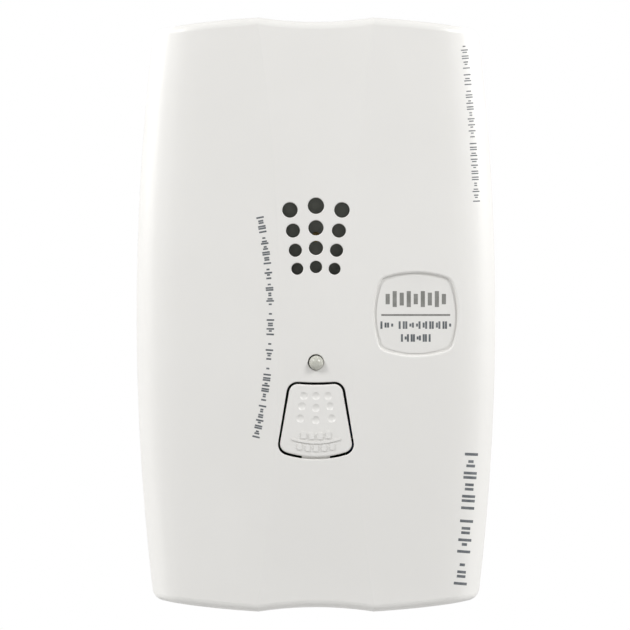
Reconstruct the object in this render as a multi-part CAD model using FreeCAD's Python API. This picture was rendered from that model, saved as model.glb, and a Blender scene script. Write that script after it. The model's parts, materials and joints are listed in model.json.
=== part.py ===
"""Wall-mounted carbon monoxide detector, as an assembly of separate pieces, in millimetres.

As a person faces the detector, +X is right and +Z is up, and +Y points into the wall.
The origin is the centre of the mounting plate's back face, midway between the two wall-box screws.
Places are written as (x, depth, z), where depth is the distance in front of the wall, so y = -depth.
"""

import FreeCAD
import Part
import math
import os

# ---- The case ----------------------------------------------------------------------------------
HALF_WIDTH = 38.5        # widest, at mid height
HALF_HEIGHT = 63.5       # at the ends of the two ridges
DEPTH = 31.8             # wall to the front of the face
WALL = 2.2               # moulded wall thickness
SIDE_RADIUS = 513.6      # bow of the long sides
END_RADIUS = 212.6       # bow of the top and bottom edges
END_APEX = 63.86         # where the end bow would cross the centre line
CORNER_RADIUS = 2.8
EDGE_RADIUS = 1.7        # rounding between the face and the walls
CROWN_ACROSS = 0.9       # drop of the face from its middle to its sides
CROWN_ALONG = 1.4        # drop of the face from its middle to its ends
SHOULDER_DROP = 7.0      # extra drop where the long sides roll over
SHOULDER_POWER = 12      # a higher power rolls over later and faster

# The waisted channel down the middle of the face
RIDGE_AT_END = 12.6      # half its width at the ends
RIDGE_AT_WAIST = 7.7     # half its width at the waist
DIP_AT_END = 1.0         # its depth at the ends
DIP_AT_WAIST = 0.35
SCALLOP_Z = 62.6         # the outline's dip at the middle of each end
SCALLOP_RADIUS = 84.0
CHANNEL_REACH = 16.0     # half the width of the solid that cuts the channel

# ---- The stack, as depths in front of the wall -------------------------------------------------
PLATE_T = 1.2            # steel mounting plate
HOUSING_BACK = 0.6       # the rear housing's rim stands off the wall
FLOOR_BACK = 1.5         # bottom of the recess that holds the plate
FLOOR_FRONT = 3.7
PARTING = 8.0            # front of the rear housing's rim
PARTING_GAP = 0.5        # shadow groove between rim and cover
LIP_FRONT = 11.0         # the rear housing's lip inside the cover
BOARD_BACK = 9.2
BOARD_FRONT = 10.8
HOUSING_INSET = 0.3      # rear housing's outline, inside the cover's
LIP_INSET = 2.4
CAVITY_INSET = 3.6

# ---- The face ----------------------------------------------------------------------------------
# Rows of three grille holes: z, x and diameter of the outer two, z and diameter of the middle one
GRILLE_ROWS = [
    (22.3, 5.55, 3.3, 23.2, 3.5),
    (17.9, 4.90, 3.0, 18.5, 3.25),
    (13.7, 4.40, 2.80, 14.2, 3.05),
    (9.75, 3.98, 2.55, 10.15, 2.65),
]
LED_Z = -10.2
LED_HOLE_R = 1.7
LED_R = 1.46
LED_TIP = 32.9
LED_BASE = 27.4
LED_FLANGE_R = 1.9
LED_FLANGE_T = 1.0
LED_PITCH = 2.54
SPACER_R = 2.2

BUTTON_TOP_Z = -14.65
BUTTON_BOTTOM_Z = -30.4
BUTTON_TOP_HALF = 5.4
BUTTON_BOTTOM_HALF = 7.9
BUTTON_CORNER_R = 1.9
BUTTON_GAP = 0.5
BUTTON_SAG = 0.35        # the top edge dips by this
BUTTON_BULGE = 1.6       # the bottom edge bows down by this
BUTTON_EDGE_R = 0.35
BUTTON_POST_R = 1.5
BUTTON_POST_BACK = 26.35
HINGE_HALF_WIDTH = 3.0
HINGE_BACK = 29.6
HINGE_T = 0.8
DIMPLE_ROWS = [(-17.4, 2.55, 0.0), (-19.6, 2.95, 0.35), (-22.2, 3.3, 0.35)]  # z, x, middle one's drop
DIMPLE_BALL_R = 1.5
DIMPLE_DEPTH = 0.27
MARK_HEIGHT = 0.22       # how far the button's raised marks stand up
MARK_LINE_W = 0.4
MARK_BOW_R = 16.0        # the marks follow arcs of about this radius
MARK_ROWS = [(-25.9, 4, 1.1, 1.5), (-28.5, 5, 0.95, 1.45)]     # z, how many, width, height
MARK_LINE_Z = -27.35
MARK_PITCH = 1.75

BADGE_X = 21.3
BADGE_Z = 0.1
BADGE_HALF = 8.85        # at the middle of each side
BADGE_CORNER = 7.45      # where the four bowed sides would meet
BADGE_CORNER_R = 2.4
BADGE_DEPTH = 0.6
BADGE_RIM_R = 0.45
OPENING_RIM_R = 0.25     # rounding round the button's opening
HOLE_RIM_R = 0.15        # rounding round the grille holes and the light's hole
LABEL_T = 0.15
LABEL_INSET = 0.5

# ---- Rear, plate and fasteners -----------------------------------------------------------------
BOX_SCREW_SPACING = 83.3         # single-gang wall box
BOX_SCREW_HOLE_R = 2.1
PLATE_HALF_W = 24.0
PLATE_HALF_H = 52.0
PLATE_CORNER_R = 4.0
PLATE_WINDOW = (-17.0, 17.0, -12.5, 25.0)      # x and z limits of the wire opening
PLATE_CLEARANCE = 0.5
HOOK_X = 15.0
HOOK_HALF_W = 3.5
HOOK_Z = 38.0
HOOK_FRONT = 5.1
HOOK_REACH = 5.0
HOOK_FOLD = 5.5                  # height of the opening that each hook is folded out of
HOOK_SLOT = (-2.5, 3.0)          # z limits of the housing's slot, from HOOK_Z
TAB_HALF_W = 5.0
TAB_FRONT = 7.4
HEAD_POCKET_R = 5.2
HEAD_POCKET_FRONT = 4.9
POCKET_WALL = 1.5
CASE_SCREW_X = 28.8
CASE_SCREW_Z = 49.5
CASE_SCREW_R = 1.4
CASE_SCREW_TIP = 19.0
CASE_SCREW_HEAD = (2.7, 1.0, 3.0)      # radius, back, front
POST_R = 4.0
POST_FRONT = 9.4
BOSS_R = 3.3
BOSS_BACK = 9.5
BOARD_SCREW_X = 26.5
BOARD_SCREW_Z = 37.5
BOARD_SCREW_R = 1.2
BOARD_SCREW_BACK = 5.0
BOARD_SCREW_HEAD = (2.5, 10.8, 12.5)
THREAD_GAP = 0.03
LOCK_SCREW_DEPTH = 4.8
LOCK_SCREW_R = 1.4
LOCK_HEAD_R = 2.4
LOCK_HEAD_Z = (-62.0, -60.4)
LOCK_TIP_Z = -49.6
DRIVE_W = 0.7                    # width of a screw's cross or slot
BAY = (-18.0, 18.0, -13.5, 26.0)       # x and z limits of the wiring bay behind the plate's window
BAY_BACK = 5.2
BAY_WALL = 1.5
RATING_LABEL = (-14.5, 14.5, 7.5, 23.0)

# ---- Board and the parts on it -----------------------------------------------------------------
BOARD_HALF_W = 30.5
BOARD_HALF_H = 55.0
BOARD_NOTCH_X = 24.2             # corner notches clear the case screws' posts
BOARD_NOTCH_Z = 44.5
HOLE_CLEARANCE = 0.06
LEAD_BACK = 8.0                  # leads end behind the board at this depth
LEAD_R = 0.3

SOUNDER_Z = 16.6
SOUNDER_R = 11.5
SOUNDER_BASE_FRONT = 12.2
SOUNDER_FRONT = 27.8
SOUNDER_WALL = 1.2
SOUND_HOLE_R = 1.1
SOUNDER_DISC = 20.0              # back of the brass disc
SOUNDER_DISC_T = 0.3
SOUNDER_PIN_X = 5.0
SOUNDER_PIN_R = 0.4
GASKET_FRONT = 28.7

SENSOR_X = -21.3
SENSOR_DEPTH = BOARD_FRONT + 8.3
SENSOR_R = 7.3
SENSOR_WALL = 0.8
SENSOR_BOTTOM = -21.0
SENSOR_TOP = 14.0
STRAP_W = 3.0
STRAP_T = 0.4
SADDLE_ZS = (-13.0, 5.0)

SWITCH_Z = -18.6
SWITCH_HALF = 3.0
SWITCH_FRONT = 14.3
SWITCH_LEG_R = 0.4               # a leg's hole in the board holds its corners
PLUNGER_R = 1.75
PLUNGER_GAP = 0.08
PLUNGER_BACK = 12.6
PLUNGER_FRONT = 25.8

HEADER_PINS = 7
HEADER_PITCH = 2.5
HEADER_PIN = 0.64
HEADER_HALF = (10.2, 3.2)
HEADER_WALL = 1.0
HEADER_BACK = 4.2
HEADER_WINDOW = (12.0, 5.0)

RELAY_X = (7.0, 22.5)
RELAY_BOTTOMS = {"alarm_relay": -26.0, "trouble_relay": -47.5}
RELAY_HEIGHT = 20.0
RELAY_FRONT = 26.0
RELAY_PINS = [(1.5, 2.2), (14.0, 2.2), (7.75, 6.0), (1.5, 17.5), (14.0, 17.5)]
RELAY_PIN_R = 0.45

MCU_X, MCU_Z, MCU_HALF = 20.0, 27.0, 4.0
MCU_PINS_PER_SIDE = 8
MCU_PIN_PITCH = 0.8
MCU_PIN_W = 0.36
CAPACITOR_PLACES = [(-6.0, 43.0), (6.0, 43.0)]
CAPACITOR_R = 4.0
CAPACITOR_FRONT = 22.5
DIODE_PLACES = [(-18.0, 47.0), (-18.0, 42.0), (-18.0, 37.0), (-18.0, 32.0)]
TRANSISTOR_PLACES = [(-8.0, -30.0), (-8.0, -36.0), (-8.0, -42.0)]
RESISTOR_PLACES = [(x, z) for x in (-22.0, -17.5, -13.0) for z in (-28.0, -32.0, -44.0, -48.0)]
CHIP_CAPACITOR_PLACES = [(x, 35.0) for x in (12.0, 15.5, 19.0, 22.5)]
CHIP_CAPACITOR_PLACES += [(0.0, z) for z in (-28.0, -32.0, -36.0)]
COIL_X, COIL_Z, COIL_R = 17.5, 8.5, 3.6
CRYSTAL_X, CRYSTAL_Z = 20.0, 17.5
REGULATOR_X, REGULATOR_Z = 18.0, 43.0


def at(x, depth, z):
    """A point from its place across, in front of the wall, and up."""
    return FreeCAD.Vector(x, -depth, z)


FRONTWARD = FreeCAD.Vector(0, -1, 0)
UPWARD = FreeCAD.Vector(0, 0, 1)


# ---- Small builders ----------------------------------------------------------------------------
def block(x0, x1, d0, d1, z0, z1):
    """A box between two places across, two depths and two heights."""
    return Part.makeBox(x1 - x0, d1 - d0, z1 - z0, at(x0, d1, z0))


def pad(x, z, width, height, d0, d1):
    """A box centred on a place on the board or the face."""
    return block(x - width / 2, x + width / 2, d0, d1, z - height / 2, z + height / 2)


def peg(x, z, radius, d0, d1):
    """A round peg that stands out from the wall."""
    return Part.makeCylinder(radius, d1 - d0, at(x, d0, z), FRONTWARD)


def ring(x, z, outer, inner, d0, d1):
    return peg(x, z, outer, d0, d1).cut(peg(x, z, inner, d0, d1))


def bar(x, depth, radius, z0, z1):
    """A round bar that runs upward."""
    return Part.makeCylinder(radius, z1 - z0, at(x, depth, z0), UPWARD)


def arc(a, b, c):
    """An arc through three (x, z) points, drawn in the wall plane."""
    return Part.Arc(*[at(x, 0, z) for x, z in (a, b, c)]).toShape()


def line(a, b):
    return Part.makeLine(at(a[0], 0, a[1]), at(b[0], 0, b[1]))


def prism(wire, d0, d1):
    """The solid that a closed outline sweeps from depth d0 to depth d1."""
    face = Part.Face(wire)
    face.translate(at(0, d0, 0))
    return face.extrude(at(0, d1 - d0, 0))


def along(solid, direction):
    """The straight edges of a solid that run along a direction."""
    straight = [e for e in solid.Edges if e.Curve.TypeId == "Part::GeomLine"]
    return [e for e in straight if abs(e.Curve.Direction.dot(direction)) > 0.999]


def edges_at(solid, depth):
    """The edges of a solid that lie flat at one depth."""
    level = [e for e in solid.Edges if e.BoundBox.YLength < 1e-4]
    return [e for e in level if abs(-e.CenterOfMass.y - depth) < 1e-3]


def soft_box(x0, x1, d0, d1, z0, z1, radius):
    """A box with its edges along the depth direction rounded."""
    solid = block(x0, x1, d0, d1, z0, z1)
    return solid.makeFillet(radius, along(solid, FRONTWARD))


def soft_pad(x, z, width, height, d0, d1, radius):
    """A centred box with its edges along the depth direction rounded."""
    return soft_box(x - width / 2, x + width / 2, d0, d1, z - height / 2, z + height / 2, radius)


def fused(solids):
    first, *rest = solids
    return first.fuse(rest).removeSplitter() if rest else first


def group(solids):
    """Separate identical pieces that share a node."""
    return Part.makeCompound(solids)


def four(x, z):
    """The same place in all four quarters."""
    return [(sx * x, sz * z) for sx in (-1, 1) for sz in (-1, 1)]


def evenly(low, high, count):
    return [low + (high - low) * i / (count - 1) for i in range(count)]


def bored(solid, places, radius):
    """A solid with a hole right through it, along the depth direction, at each place."""
    return solid.cut([peg(x, z, radius, -1, DEPTH + 5) for x, z in places])


def screw(x, z, radius, head, tip, facing):
    """A pan-head screw with a cross drive. facing is 1 if its head faces the room and -1 if the wall."""
    head_r, head_back, head_front = head
    top = peg(x, z, head_r, head_back, head_front)
    outside = head_front if facing > 0 else head_back
    top = top.makeFillet(0.7, edges_at(top, outside))
    shank = peg(x, z, radius, min(tip, head_front), max(tip, head_back))
    body = top.fuse(shank).removeSplitter()
    reach = head_r * 0.62
    cross = [
        pad(x, z, 2 * reach, DRIVE_W, outside - 1.0, outside + 1.0),
        pad(x, z, DRIVE_W, 2 * reach, outside - 1.0, outside + 1.0),
    ]
    return body.cut(cross)


# ---- The case's form ---------------------------------------------------------------------------
def side_x(z, inset=0.0):
    """How far out the bowed long side is at a height."""
    radius = SIDE_RADIUS - inset
    return HALF_WIDTH - SIDE_RADIUS + math.sqrt(radius * radius - z * z)


def ridge_x(z):
    """How far out the channel's ridge is at a height."""
    return RIDGE_AT_WAIST + (RIDGE_AT_END - RIDGE_AT_WAIST) * (z / HALF_HEIGHT) ** 2


def crown_depth(x, z, inset=0.0):
    """Depth of the crowned face, without its channel."""
    share = abs(x) / side_x(z, inset)
    drop = CROWN_ACROSS * share ** 2 + SHOULDER_DROP * share ** SHOULDER_POWER
    return DEPTH - inset - drop - CROWN_ALONG * (z / HALF_HEIGHT) ** 2


def channel_depth(x, z, inset=0.0):
    """Depth of the channel's surface, which is above the face outside the two ridges."""
    dip = DIP_AT_WAIST + (DIP_AT_END - DIP_AT_WAIST) * (z / HALF_HEIGHT) ** 2
    return crown_depth(x, z, inset) - dip * (1 - (x / ridge_x(z)) ** 2)


def surface(depth_of, xs_at, heights, inset):
    """A smooth face through depth_of, on a grid of heights and places across."""
    rows = [[at(x, depth_of(x, z, inset), z) for x in xs_at(z)] for z in heights]
    made = Part.BSplineSurface()
    made.interpolate(rows)
    return made.toShape()


def barrel(inset, d0, d1):
    """The case's bowed outline swept between two depths, with its corners rounded."""
    top = END_APEX - inset
    radius = END_RADIUS - inset
    half = HALF_WIDTH - inset
    x = half
    for _ in range(20):                      # walks to the corner, where side and end bows cross
        z = top - radius + math.sqrt(radius * radius - x * x)
        x = side_x(z, inset)
    outline = Part.Wire([
        arc((x, -z), (half, 0), (x, z)),
        arc((x, z), (0, top), (-x, z)),
        arc((-x, z), (-half, 0), (-x, -z)),
        arc((-x, -z), (0, -top), (x, -z)),
    ])
    solid = prism(outline, d0, d1)
    return solid.makeFillet(max(CORNER_RADIUS - inset, 0.6), along(solid, FRONTWARD))


def waist_prism(inset, d0, d1):
    """A band down the middle whose two ends are scalloped."""
    reach = CHANNEL_REACH + 2
    low = SCALLOP_Z - inset
    high = low + SCALLOP_RADIUS - math.sqrt(SCALLOP_RADIUS ** 2 - reach ** 2)
    outline = Part.Wire([
        arc((-reach, high), (0, low), (reach, high)),
        line((reach, high), (reach, -high)),
        arc((reach, -high), (0, -low), (-reach, -high)),
        line((-reach, -high), (-reach, high)),
    ])
    return prism(outline, d0, d1)


def middle_band(d0, d1):
    return block(-CHANNEL_REACH, CHANNEL_REACH, d0, d1, -HALF_HEIGHT - 3, HALF_HEIGHT + 3)


def case_prism(inset, d0, d1):
    """The case's scalloped outline swept between two depths."""
    ends = middle_band(d0 - 1, d1 + 1).cut(waist_prism(inset, d0 - 2, d1 + 2))
    return barrel(inset, d0, d1).cut(ends)


def channel_cutter(inset):
    """What the channel and the scalloped ends take away from the barrel."""
    reach = CHANNEL_REACH + 2
    heights = evenly(-HALF_HEIGHT - 4.5, HALF_HEIGHT + 4.5, 17)
    face = surface(channel_depth, lambda z: evenly(-reach, reach, 25), heights, inset)
    kept = face.extrude(at(0, -40.0, 0)).common(waist_prism(inset, -1.0, DEPTH + 8))
    if inset == 0:
        rims = [e for e in kept.Edges if abs(e.CenterOfMass.z) > 60 and e.BoundBox.XLength > 20]
        kept = kept.makeFillet(EDGE_RADIUS, [e for e in rims if e.CenterOfMass.y < -25])
    return middle_band(-1.0, DEPTH + 6).cut(kept)


def case_form(inset, d0):
    """The case's whole outer form, shrunk by inset, from depth d0 to its face."""
    shares = [1.06 * (1.5 * u - 0.5 * u ** 3) for u in evenly(-1, 1, 41)]
    heights = evenly(-HALF_HEIGHT - 6.5, HALF_HEIGHT + 6.5, 15)
    face = surface(crown_depth, lambda z: [s * side_x(z, inset) for s in shares], heights, inset)
    solid = barrel(inset, d0, DEPTH + 3).common(face.extrude(at(0, -60.0, 0)))
    if inset == 0:
        front = [e for e in solid.Edges if e.BoundBox.YMax < -d0 - 1]
        upright = [e.BoundBox.YLength > 5 * max(e.BoundBox.XLength, e.BoundBox.ZLength) for e in front]
        solid = solid.makeFillet(EDGE_RADIUS, [e for e, is_up in zip(front, upright) if not is_up])
    return solid.cut(channel_cutter(inset))


def button_prism(grow):
    """The test button's outline, grown outward by grow, as a prism."""
    top, bottom = BUTTON_TOP_Z + grow, BUTTON_BOTTOM_Z - grow
    upper, lower = BUTTON_TOP_HALF + grow, BUTTON_BOTTOM_HALF + grow
    shoulder = bottom + BUTTON_BULGE
    outline = Part.Wire([
        arc((-upper, top), (0, top - BUTTON_SAG), (upper, top)),
        line((upper, top), (lower, shoulder)),
        arc((lower, shoulder), (0, bottom), (-lower, shoulder)),
        line((-lower, shoulder), (-upper, top)),
    ])
    solid = prism(outline, 15.0, DEPTH + 5)
    return solid.makeFillet(BUTTON_CORNER_R + grow, along(solid, FRONTWARD))


def badge_prism(inset):
    """The four-bowed outline of the label recess, as a prism."""
    corner, half = BADGE_CORNER - inset, BADGE_HALF - inset
    turns = ((1, 1), (-1, 1), (-1, -1), (1, -1))
    corners = [(BADGE_X + sx * corner, BADGE_Z + sz * corner) for sx, sz in turns]
    sides_out = ((0, 1), (-1, 0), (0, -1), (1, 0))
    middles = [(BADGE_X + sx * half, BADGE_Z + sz * half) for sx, sz in sides_out]
    sides = [arc(corners[i], middles[i], corners[(i + 1) % 4]) for i in range(4)]
    solid = prism(Part.Wire(sides), 20.0, DEPTH + 5)
    return solid.makeFillet(BADGE_CORNER_R - inset, along(solid, FRONTWARD))


# ---- Front cover, button and labels ------------------------------------------------------------
def grille_holes():
    holes = []
    for z, x, across, middle_z, middle_across in GRILLE_ROWS:
        holes += [peg(side * x, z, across / 2, 15, DEPTH + 5) for side in (-1, 1)]
        holes.append(peg(0, middle_z, middle_across / 2, 15, DEPTH + 5))
    return holes


def rim_edges(shell, x0, x1, z0, z1):
    """The edges of the openings in the face that lie within a window across and up it."""
    found = []
    for edge in shell.Edges:
        box = edge.BoundBox
        inside = box.XMin > x0 and box.XMax < x1 and box.ZMin > z0 and box.ZMax < z1
        middle = edge.valueAt((edge.FirstParameter + edge.LastParameter) / 2)
        face_depth = min(crown_depth(middle.x, middle.z), channel_depth(middle.x, middle.z))
        if inside and abs(-middle.y - face_depth) < 0.05:
            found.append(edge)
    return found


def front_cover(outer, inner):
    """The moulded shell, with its screw bosses, sounder ring, LED collar and openings."""
    inside = [
        ring(0, SOUNDER_Z, SOUNDER_R + 1.9, SOUNDER_R + 0.5, 24.5, DEPTH),
        ring(0, LED_Z, SPACER_R + 1.3, SPACER_R + 0.25, 26.6, DEPTH),
    ]
    screw_places = four(CASE_SCREW_X, CASE_SCREW_Z)
    for x, z in screw_places:
        inside.append(peg(x, z, BOSS_R, BOSS_BACK, DEPTH))
        inside.append(block(min(x, 1.3 * x), max(x, 1.3 * x), LIP_FRONT + 1, DEPTH, z - 0.8, z + 0.8))
    shell = outer.cut(inner).fuse(inner.common(fused(inside)))
    pilots = [peg(x, z, CASE_SCREW_R + THREAD_GAP, 0, CASE_SCREW_TIP + 1) for x, z in screw_places]
    recess = badge_prism(0).cut(case_form(BADGE_DEPTH, 10))
    openings = [button_prism(BUTTON_GAP), peg(0, LED_Z, LED_HOLE_R, 15, DEPTH + 5), recess]
    shell = shell.cut(openings + grille_holes() + pilots).removeSplitter()
    reach = BADGE_HALF + 1
    badge_rim = rim_edges(shell, BADGE_X - reach, BADGE_X + reach, BADGE_Z - reach, BADGE_Z + reach)
    shell = shell.makeFillet(BADGE_RIM_R, badge_rim)
    reach = BUTTON_BOTTOM_HALF + 1.5
    button_rim = rim_edges(shell, -reach, reach, BUTTON_BOTTOM_Z - 2, BUTTON_TOP_Z + 1.5)
    shell = shell.makeFillet(OPENING_RIM_R, button_rim)
    return shell.makeFillet(HOLE_RIM_R, rim_edges(shell, -8, 8, LED_Z - 2, 26))


def raised_marks():
    """The button's raised legend, as plain bars above and below a bowed line."""
    marks = []
    for row_z, count, width, height in MARK_ROWS:
        for i in range(count):
            x = (i - (count - 1) / 2) * MARK_PITCH
            z = row_z + MARK_BOW_R - math.sqrt(MARK_BOW_R ** 2 - x ** 2)
            marks.append(soft_pad(x, z, width, height, 28, 32, 0.3))
    centre_z = MARK_LINE_Z + MARK_BOW_R
    bow = ring(0, centre_z, MARK_BOW_R + MARK_LINE_W / 2, MARK_BOW_R - MARK_LINE_W / 2, 28, 32)
    marks.append(bow.common(block(-5.2, 5.2, 28, 32, MARK_LINE_Z - 2, MARK_LINE_Z + 3)))
    return marks


def test_reset_button(outer, inner):
    """The button's cap, with finger dimples, a raised legend and the post that works the switch."""
    cap = outer.common(button_prism(0))
    front = [e for e in cap.Edges if e.BoundBox.YMax < -25 and e.BoundBox.YLength < 3]
    cap = cap.makeFillet(BUTTON_EDGE_R, front)
    proud = outer.copy()
    proud.translate(at(0, MARK_HEIGHT, 0))
    marks = [proud.common(mark) for mark in raised_marks()]
    cap = cap.fuse(marks)
    dimples = []
    for z, x, drop in DIMPLE_ROWS:
        for place_x, place_z in ((-x, z), (0.0, z - drop), (x, z)):
            centre = channel_depth(place_x, place_z) + DIMPLE_BALL_R - DIMPLE_DEPTH
            dimples.append(Part.makeSphere(DIMPLE_BALL_R, at(place_x, centre, place_z)))
    cap = cap.cut(dimples).cut(inner)
    post = peg(0, SWITCH_Z, BUTTON_POST_R, BUTTON_POST_BACK, 30.0)
    return cap.fuse(post).removeSplitter()


def button_hinge_web():
    """The thin strip of the moulding that the button swings on."""
    strip = pad(0, BUTTON_BOTTOM_Z, 2 * HINGE_HALF_WIDTH, 6, HINGE_BACK, HINGE_BACK + HINGE_T)
    return strip.common(button_prism(BUTTON_GAP)).cut(button_prism(0))


def name_label():
    """The thin label that lies in the face's recess."""
    top, bottom = case_form(BADGE_DEPTH - LABEL_T, 10), case_form(BADGE_DEPTH, 9)
    return badge_prism(LABEL_INSET).common(top).cut(bottom)


# ---- Rear housing, plate and screws ------------------------------------------------------------
def box_screw_heights():
    return (-BOX_SCREW_SPACING / 2, BOX_SCREW_SPACING / 2)


def rear_housing():
    """The moulded back, with the plate's recess, the wiring bay, posts, bosses and the harness window."""
    rim = case_prism(HOUSING_INSET, HOUSING_BACK, PARTING)
    rim = rim.makeFillet(1.0, edges_at(rim, HOUSING_BACK))
    lip = case_prism(LIP_INSET, PARTING - 2, LIP_FRONT)
    cavity = case_prism(CAVITY_INSET, FLOOR_FRONT, LIP_FRONT + 1)
    tray = rim.fuse(lip).cut(cavity)
    dome_r, dome_front = HEAD_POCKET_R + POCKET_WALL, HEAD_POCKET_FRONT + POCKET_WALL
    bosses = [peg(0, z, dome_r, FLOOR_BACK, dome_front) for z in box_screw_heights()]
    x0, x1, z0, z1 = BAY
    bay_front = BAY_BACK + BAY_WALL
    bosses.append(block(x0 - BAY_WALL, x1 + BAY_WALL, FLOOR_BACK, bay_front, z0 - BAY_WALL, z1 + BAY_WALL))
    case_places, board_places = four(CASE_SCREW_X, CASE_SCREW_Z), four(BOARD_SCREW_X, BOARD_SCREW_Z)
    bosses += [peg(x, z, POST_R, FLOOR_BACK, POST_FRONT) for x, z in case_places]
    bosses += [peg(x, z, POST_R - 1, FLOOR_BACK, BOARD_BACK) for x, z in board_places]
    tray = tray.fuse(bosses)

    wide, tall = PLATE_HALF_W + PLATE_CLEARANCE, PLATE_HALF_H + PLATE_CLEARANCE
    cuts = [soft_box(-wide, wide, -1, FLOOR_BACK, -tall, tall, PLATE_CORNER_R + PLATE_CLEARANCE)]
    cuts.append(soft_box(x0, x1, -1, BAY_BACK, z0, z1, 2.0))
    cuts.append(pad(0, 0, 2 * HEADER_WINDOW[0], 2 * HEADER_WINDOW[1], -1, PARTING))
    cuts.append(block(-TAB_HALF_W - 0.6, TAB_HALF_W + 0.6, -1, PARTING, -tall, 2.3 - tall))
    cuts += [peg(0, z, HEAD_POCKET_R, -1, HEAD_POCKET_FRONT) for z in box_screw_heights()]
    for sx in (-1, 1):
        x, half = sx * HOOK_X, HOOK_HALF_W + 0.3
        cuts.append(block(x - half, x + half, -1, PARTING, HOOK_Z + HOOK_SLOT[0], HOOK_Z + HOOK_SLOT[1]))
    for x, z in case_places:
        cuts.append(peg(x, z, CASE_SCREW_R + 0.3, -1, POST_FRONT + 1))
        cuts.append(peg(x, z, CASE_SCREW_HEAD[0] + 0.4, -1, CASE_SCREW_HEAD[2]))
    for x, z in board_places:
        cuts.append(peg(x, z, BOARD_SCREW_R + THREAD_GAP, BOARD_SCREW_BACK - 0.5, BOARD_BACK + 1))
    cuts.append(bar(0, LOCK_SCREW_DEPTH, LOCK_SCREW_R + 0.3, -HALF_HEIGHT, LOCK_TIP_Z))
    cuts.append(bar(0, LOCK_SCREW_DEPTH, LOCK_HEAD_R + 0.25, -HALF_HEIGHT, LOCK_HEAD_Z[1]))
    return tray.cut(cuts).removeSplitter()


def rating_label():
    x0, x1, z0, z1 = RATING_LABEL
    return soft_box(x0, x1, BAY_BACK - LABEL_T, BAY_BACK, z0, z1, 1.0)


def mounting_plate():
    """The folded steel plate that screws to the wall box, with two hooks and a locking tab."""
    plate = soft_box(-PLATE_HALF_W, PLATE_HALF_W, 0, PLATE_T, -PLATE_HALF_H, PLATE_HALF_H, PLATE_CORNER_R)
    x0, x1, z0, z1 = PLATE_WINDOW
    cuts = [soft_box(x0, x1, -1, PLATE_T + 1, z0, z1, 3.0)]
    cuts += [peg(0, z, BOX_SCREW_HOLE_R, -1, PLATE_T + 1) for z in box_screw_heights()]
    folds = [block(-TAB_HALF_W, TAB_HALF_W, 0, TAB_FRONT, -PLATE_HALF_H, PLATE_T - PLATE_HALF_H)]
    for sx in (-1, 1):
        left, right = sx * HOOK_X - HOOK_HALF_W, sx * HOOK_X + HOOK_HALF_W
        cuts.append(block(left, right, -1, PLATE_T + 1, HOOK_Z - HOOK_FOLD, HOOK_Z))
        folds.append(block(left, right, 0, HOOK_FRONT, HOOK_Z, HOOK_Z + PLATE_T))
        folds.append(block(left, right, HOOK_FRONT - PLATE_T, HOOK_FRONT, HOOK_Z, HOOK_Z + HOOK_REACH))
    thread = bar(0, LOCK_SCREW_DEPTH, LOCK_SCREW_R + THREAD_GAP, -PLATE_HALF_H - 1, LOCK_TIP_Z)
    return plate.cut(cuts).fuse(folds).cut(thread).removeSplitter()


def locking_screw():
    """The slotted screw that goes up through the bottom wall into the plate's tab."""
    head = bar(0, LOCK_SCREW_DEPTH, LOCK_HEAD_R, *LOCK_HEAD_Z)
    shank = bar(0, LOCK_SCREW_DEPTH, LOCK_SCREW_R, LOCK_HEAD_Z[1], LOCK_TIP_Z)
    slot_back = LOCK_SCREW_DEPTH - DRIVE_W / 2
    slot = block(-3, 3, slot_back, slot_back + DRIVE_W, LOCK_HEAD_Z[0], LOCK_HEAD_Z[0] + 0.8)
    return head.fuse(shank).removeSplitter().cut(slot)


def case_screws():
    return group([
        screw(x, z, CASE_SCREW_R, CASE_SCREW_HEAD, CASE_SCREW_TIP, -1)
        for x, z in four(CASE_SCREW_X, CASE_SCREW_Z)
    ])


def board_screws():
    return group([
        screw(x, z, BOARD_SCREW_R, BOARD_SCREW_HEAD, BOARD_SCREW_BACK, 1)
        for x, z in four(BOARD_SCREW_X, BOARD_SCREW_Z)
    ])


# ---- Board -------------------------------------------------------------------------------------
def led_lead_places():
    return [(side * LED_PITCH / 2, LED_Z) for side in (-1, 1)]


def sounder_pin_places():
    return [(side * SOUNDER_PIN_X, SOUNDER_Z) for side in (-1, 1)]


def switch_leg_places():
    return [(x, SWITCH_Z + z) for x, z in four(SWITCH_HALF + 0.15, 2.25)]


def header_pin_places():
    return [((i - (HEADER_PINS - 1) / 2) * HEADER_PITCH, 0.0) for i in range(HEADER_PINS)]


def relay_pin_places():
    return [(RELAY_X[0] + x, bottom + z) for bottom in RELAY_BOTTOMS.values() for x, z in RELAY_PINS]


def strap_places():
    return [(SENSOR_X, SENSOR_BOTTOM - STRAP_T / 2), (SENSOR_X, SENSOR_TOP + 0.6 + STRAP_T / 2)]


def main_board():
    """The circuit board, with its corner notches, screw holes and lead holes."""
    board = soft_box(-BOARD_HALF_W, BOARD_HALF_W, BOARD_BACK, BOARD_FRONT, -BOARD_HALF_H, BOARD_HALF_H, 1.0)
    d0, d1 = BOARD_BACK - 1, BOARD_FRONT + 1
    notches = four(BOARD_NOTCH_X + 5, BOARD_NOTCH_Z + 8)
    cuts = [pad(x, z, 10, 16, d0, d1) for x, z in notches]
    for places, radius in (
        (four(BOARD_SCREW_X, BOARD_SCREW_Z), BOARD_SCREW_R + 0.24),
        (led_lead_places(), LEAD_R),
        (sounder_pin_places(), SOUNDER_PIN_R),
        (switch_leg_places(), SWITCH_LEG_R),
        (header_pin_places(), HEADER_PIN * 0.71),
        (relay_pin_places(), RELAY_PIN_R),
    ):
        cuts += [peg(x, z, radius + HOLE_CLEARANCE, d0, d1) for x, z in places]
    cuts += [pad(x, z, STRAP_W + 0.2, STRAP_T + 0.2, d0, d1) for x, z in strap_places()]
    return board.cut(cuts)


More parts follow.
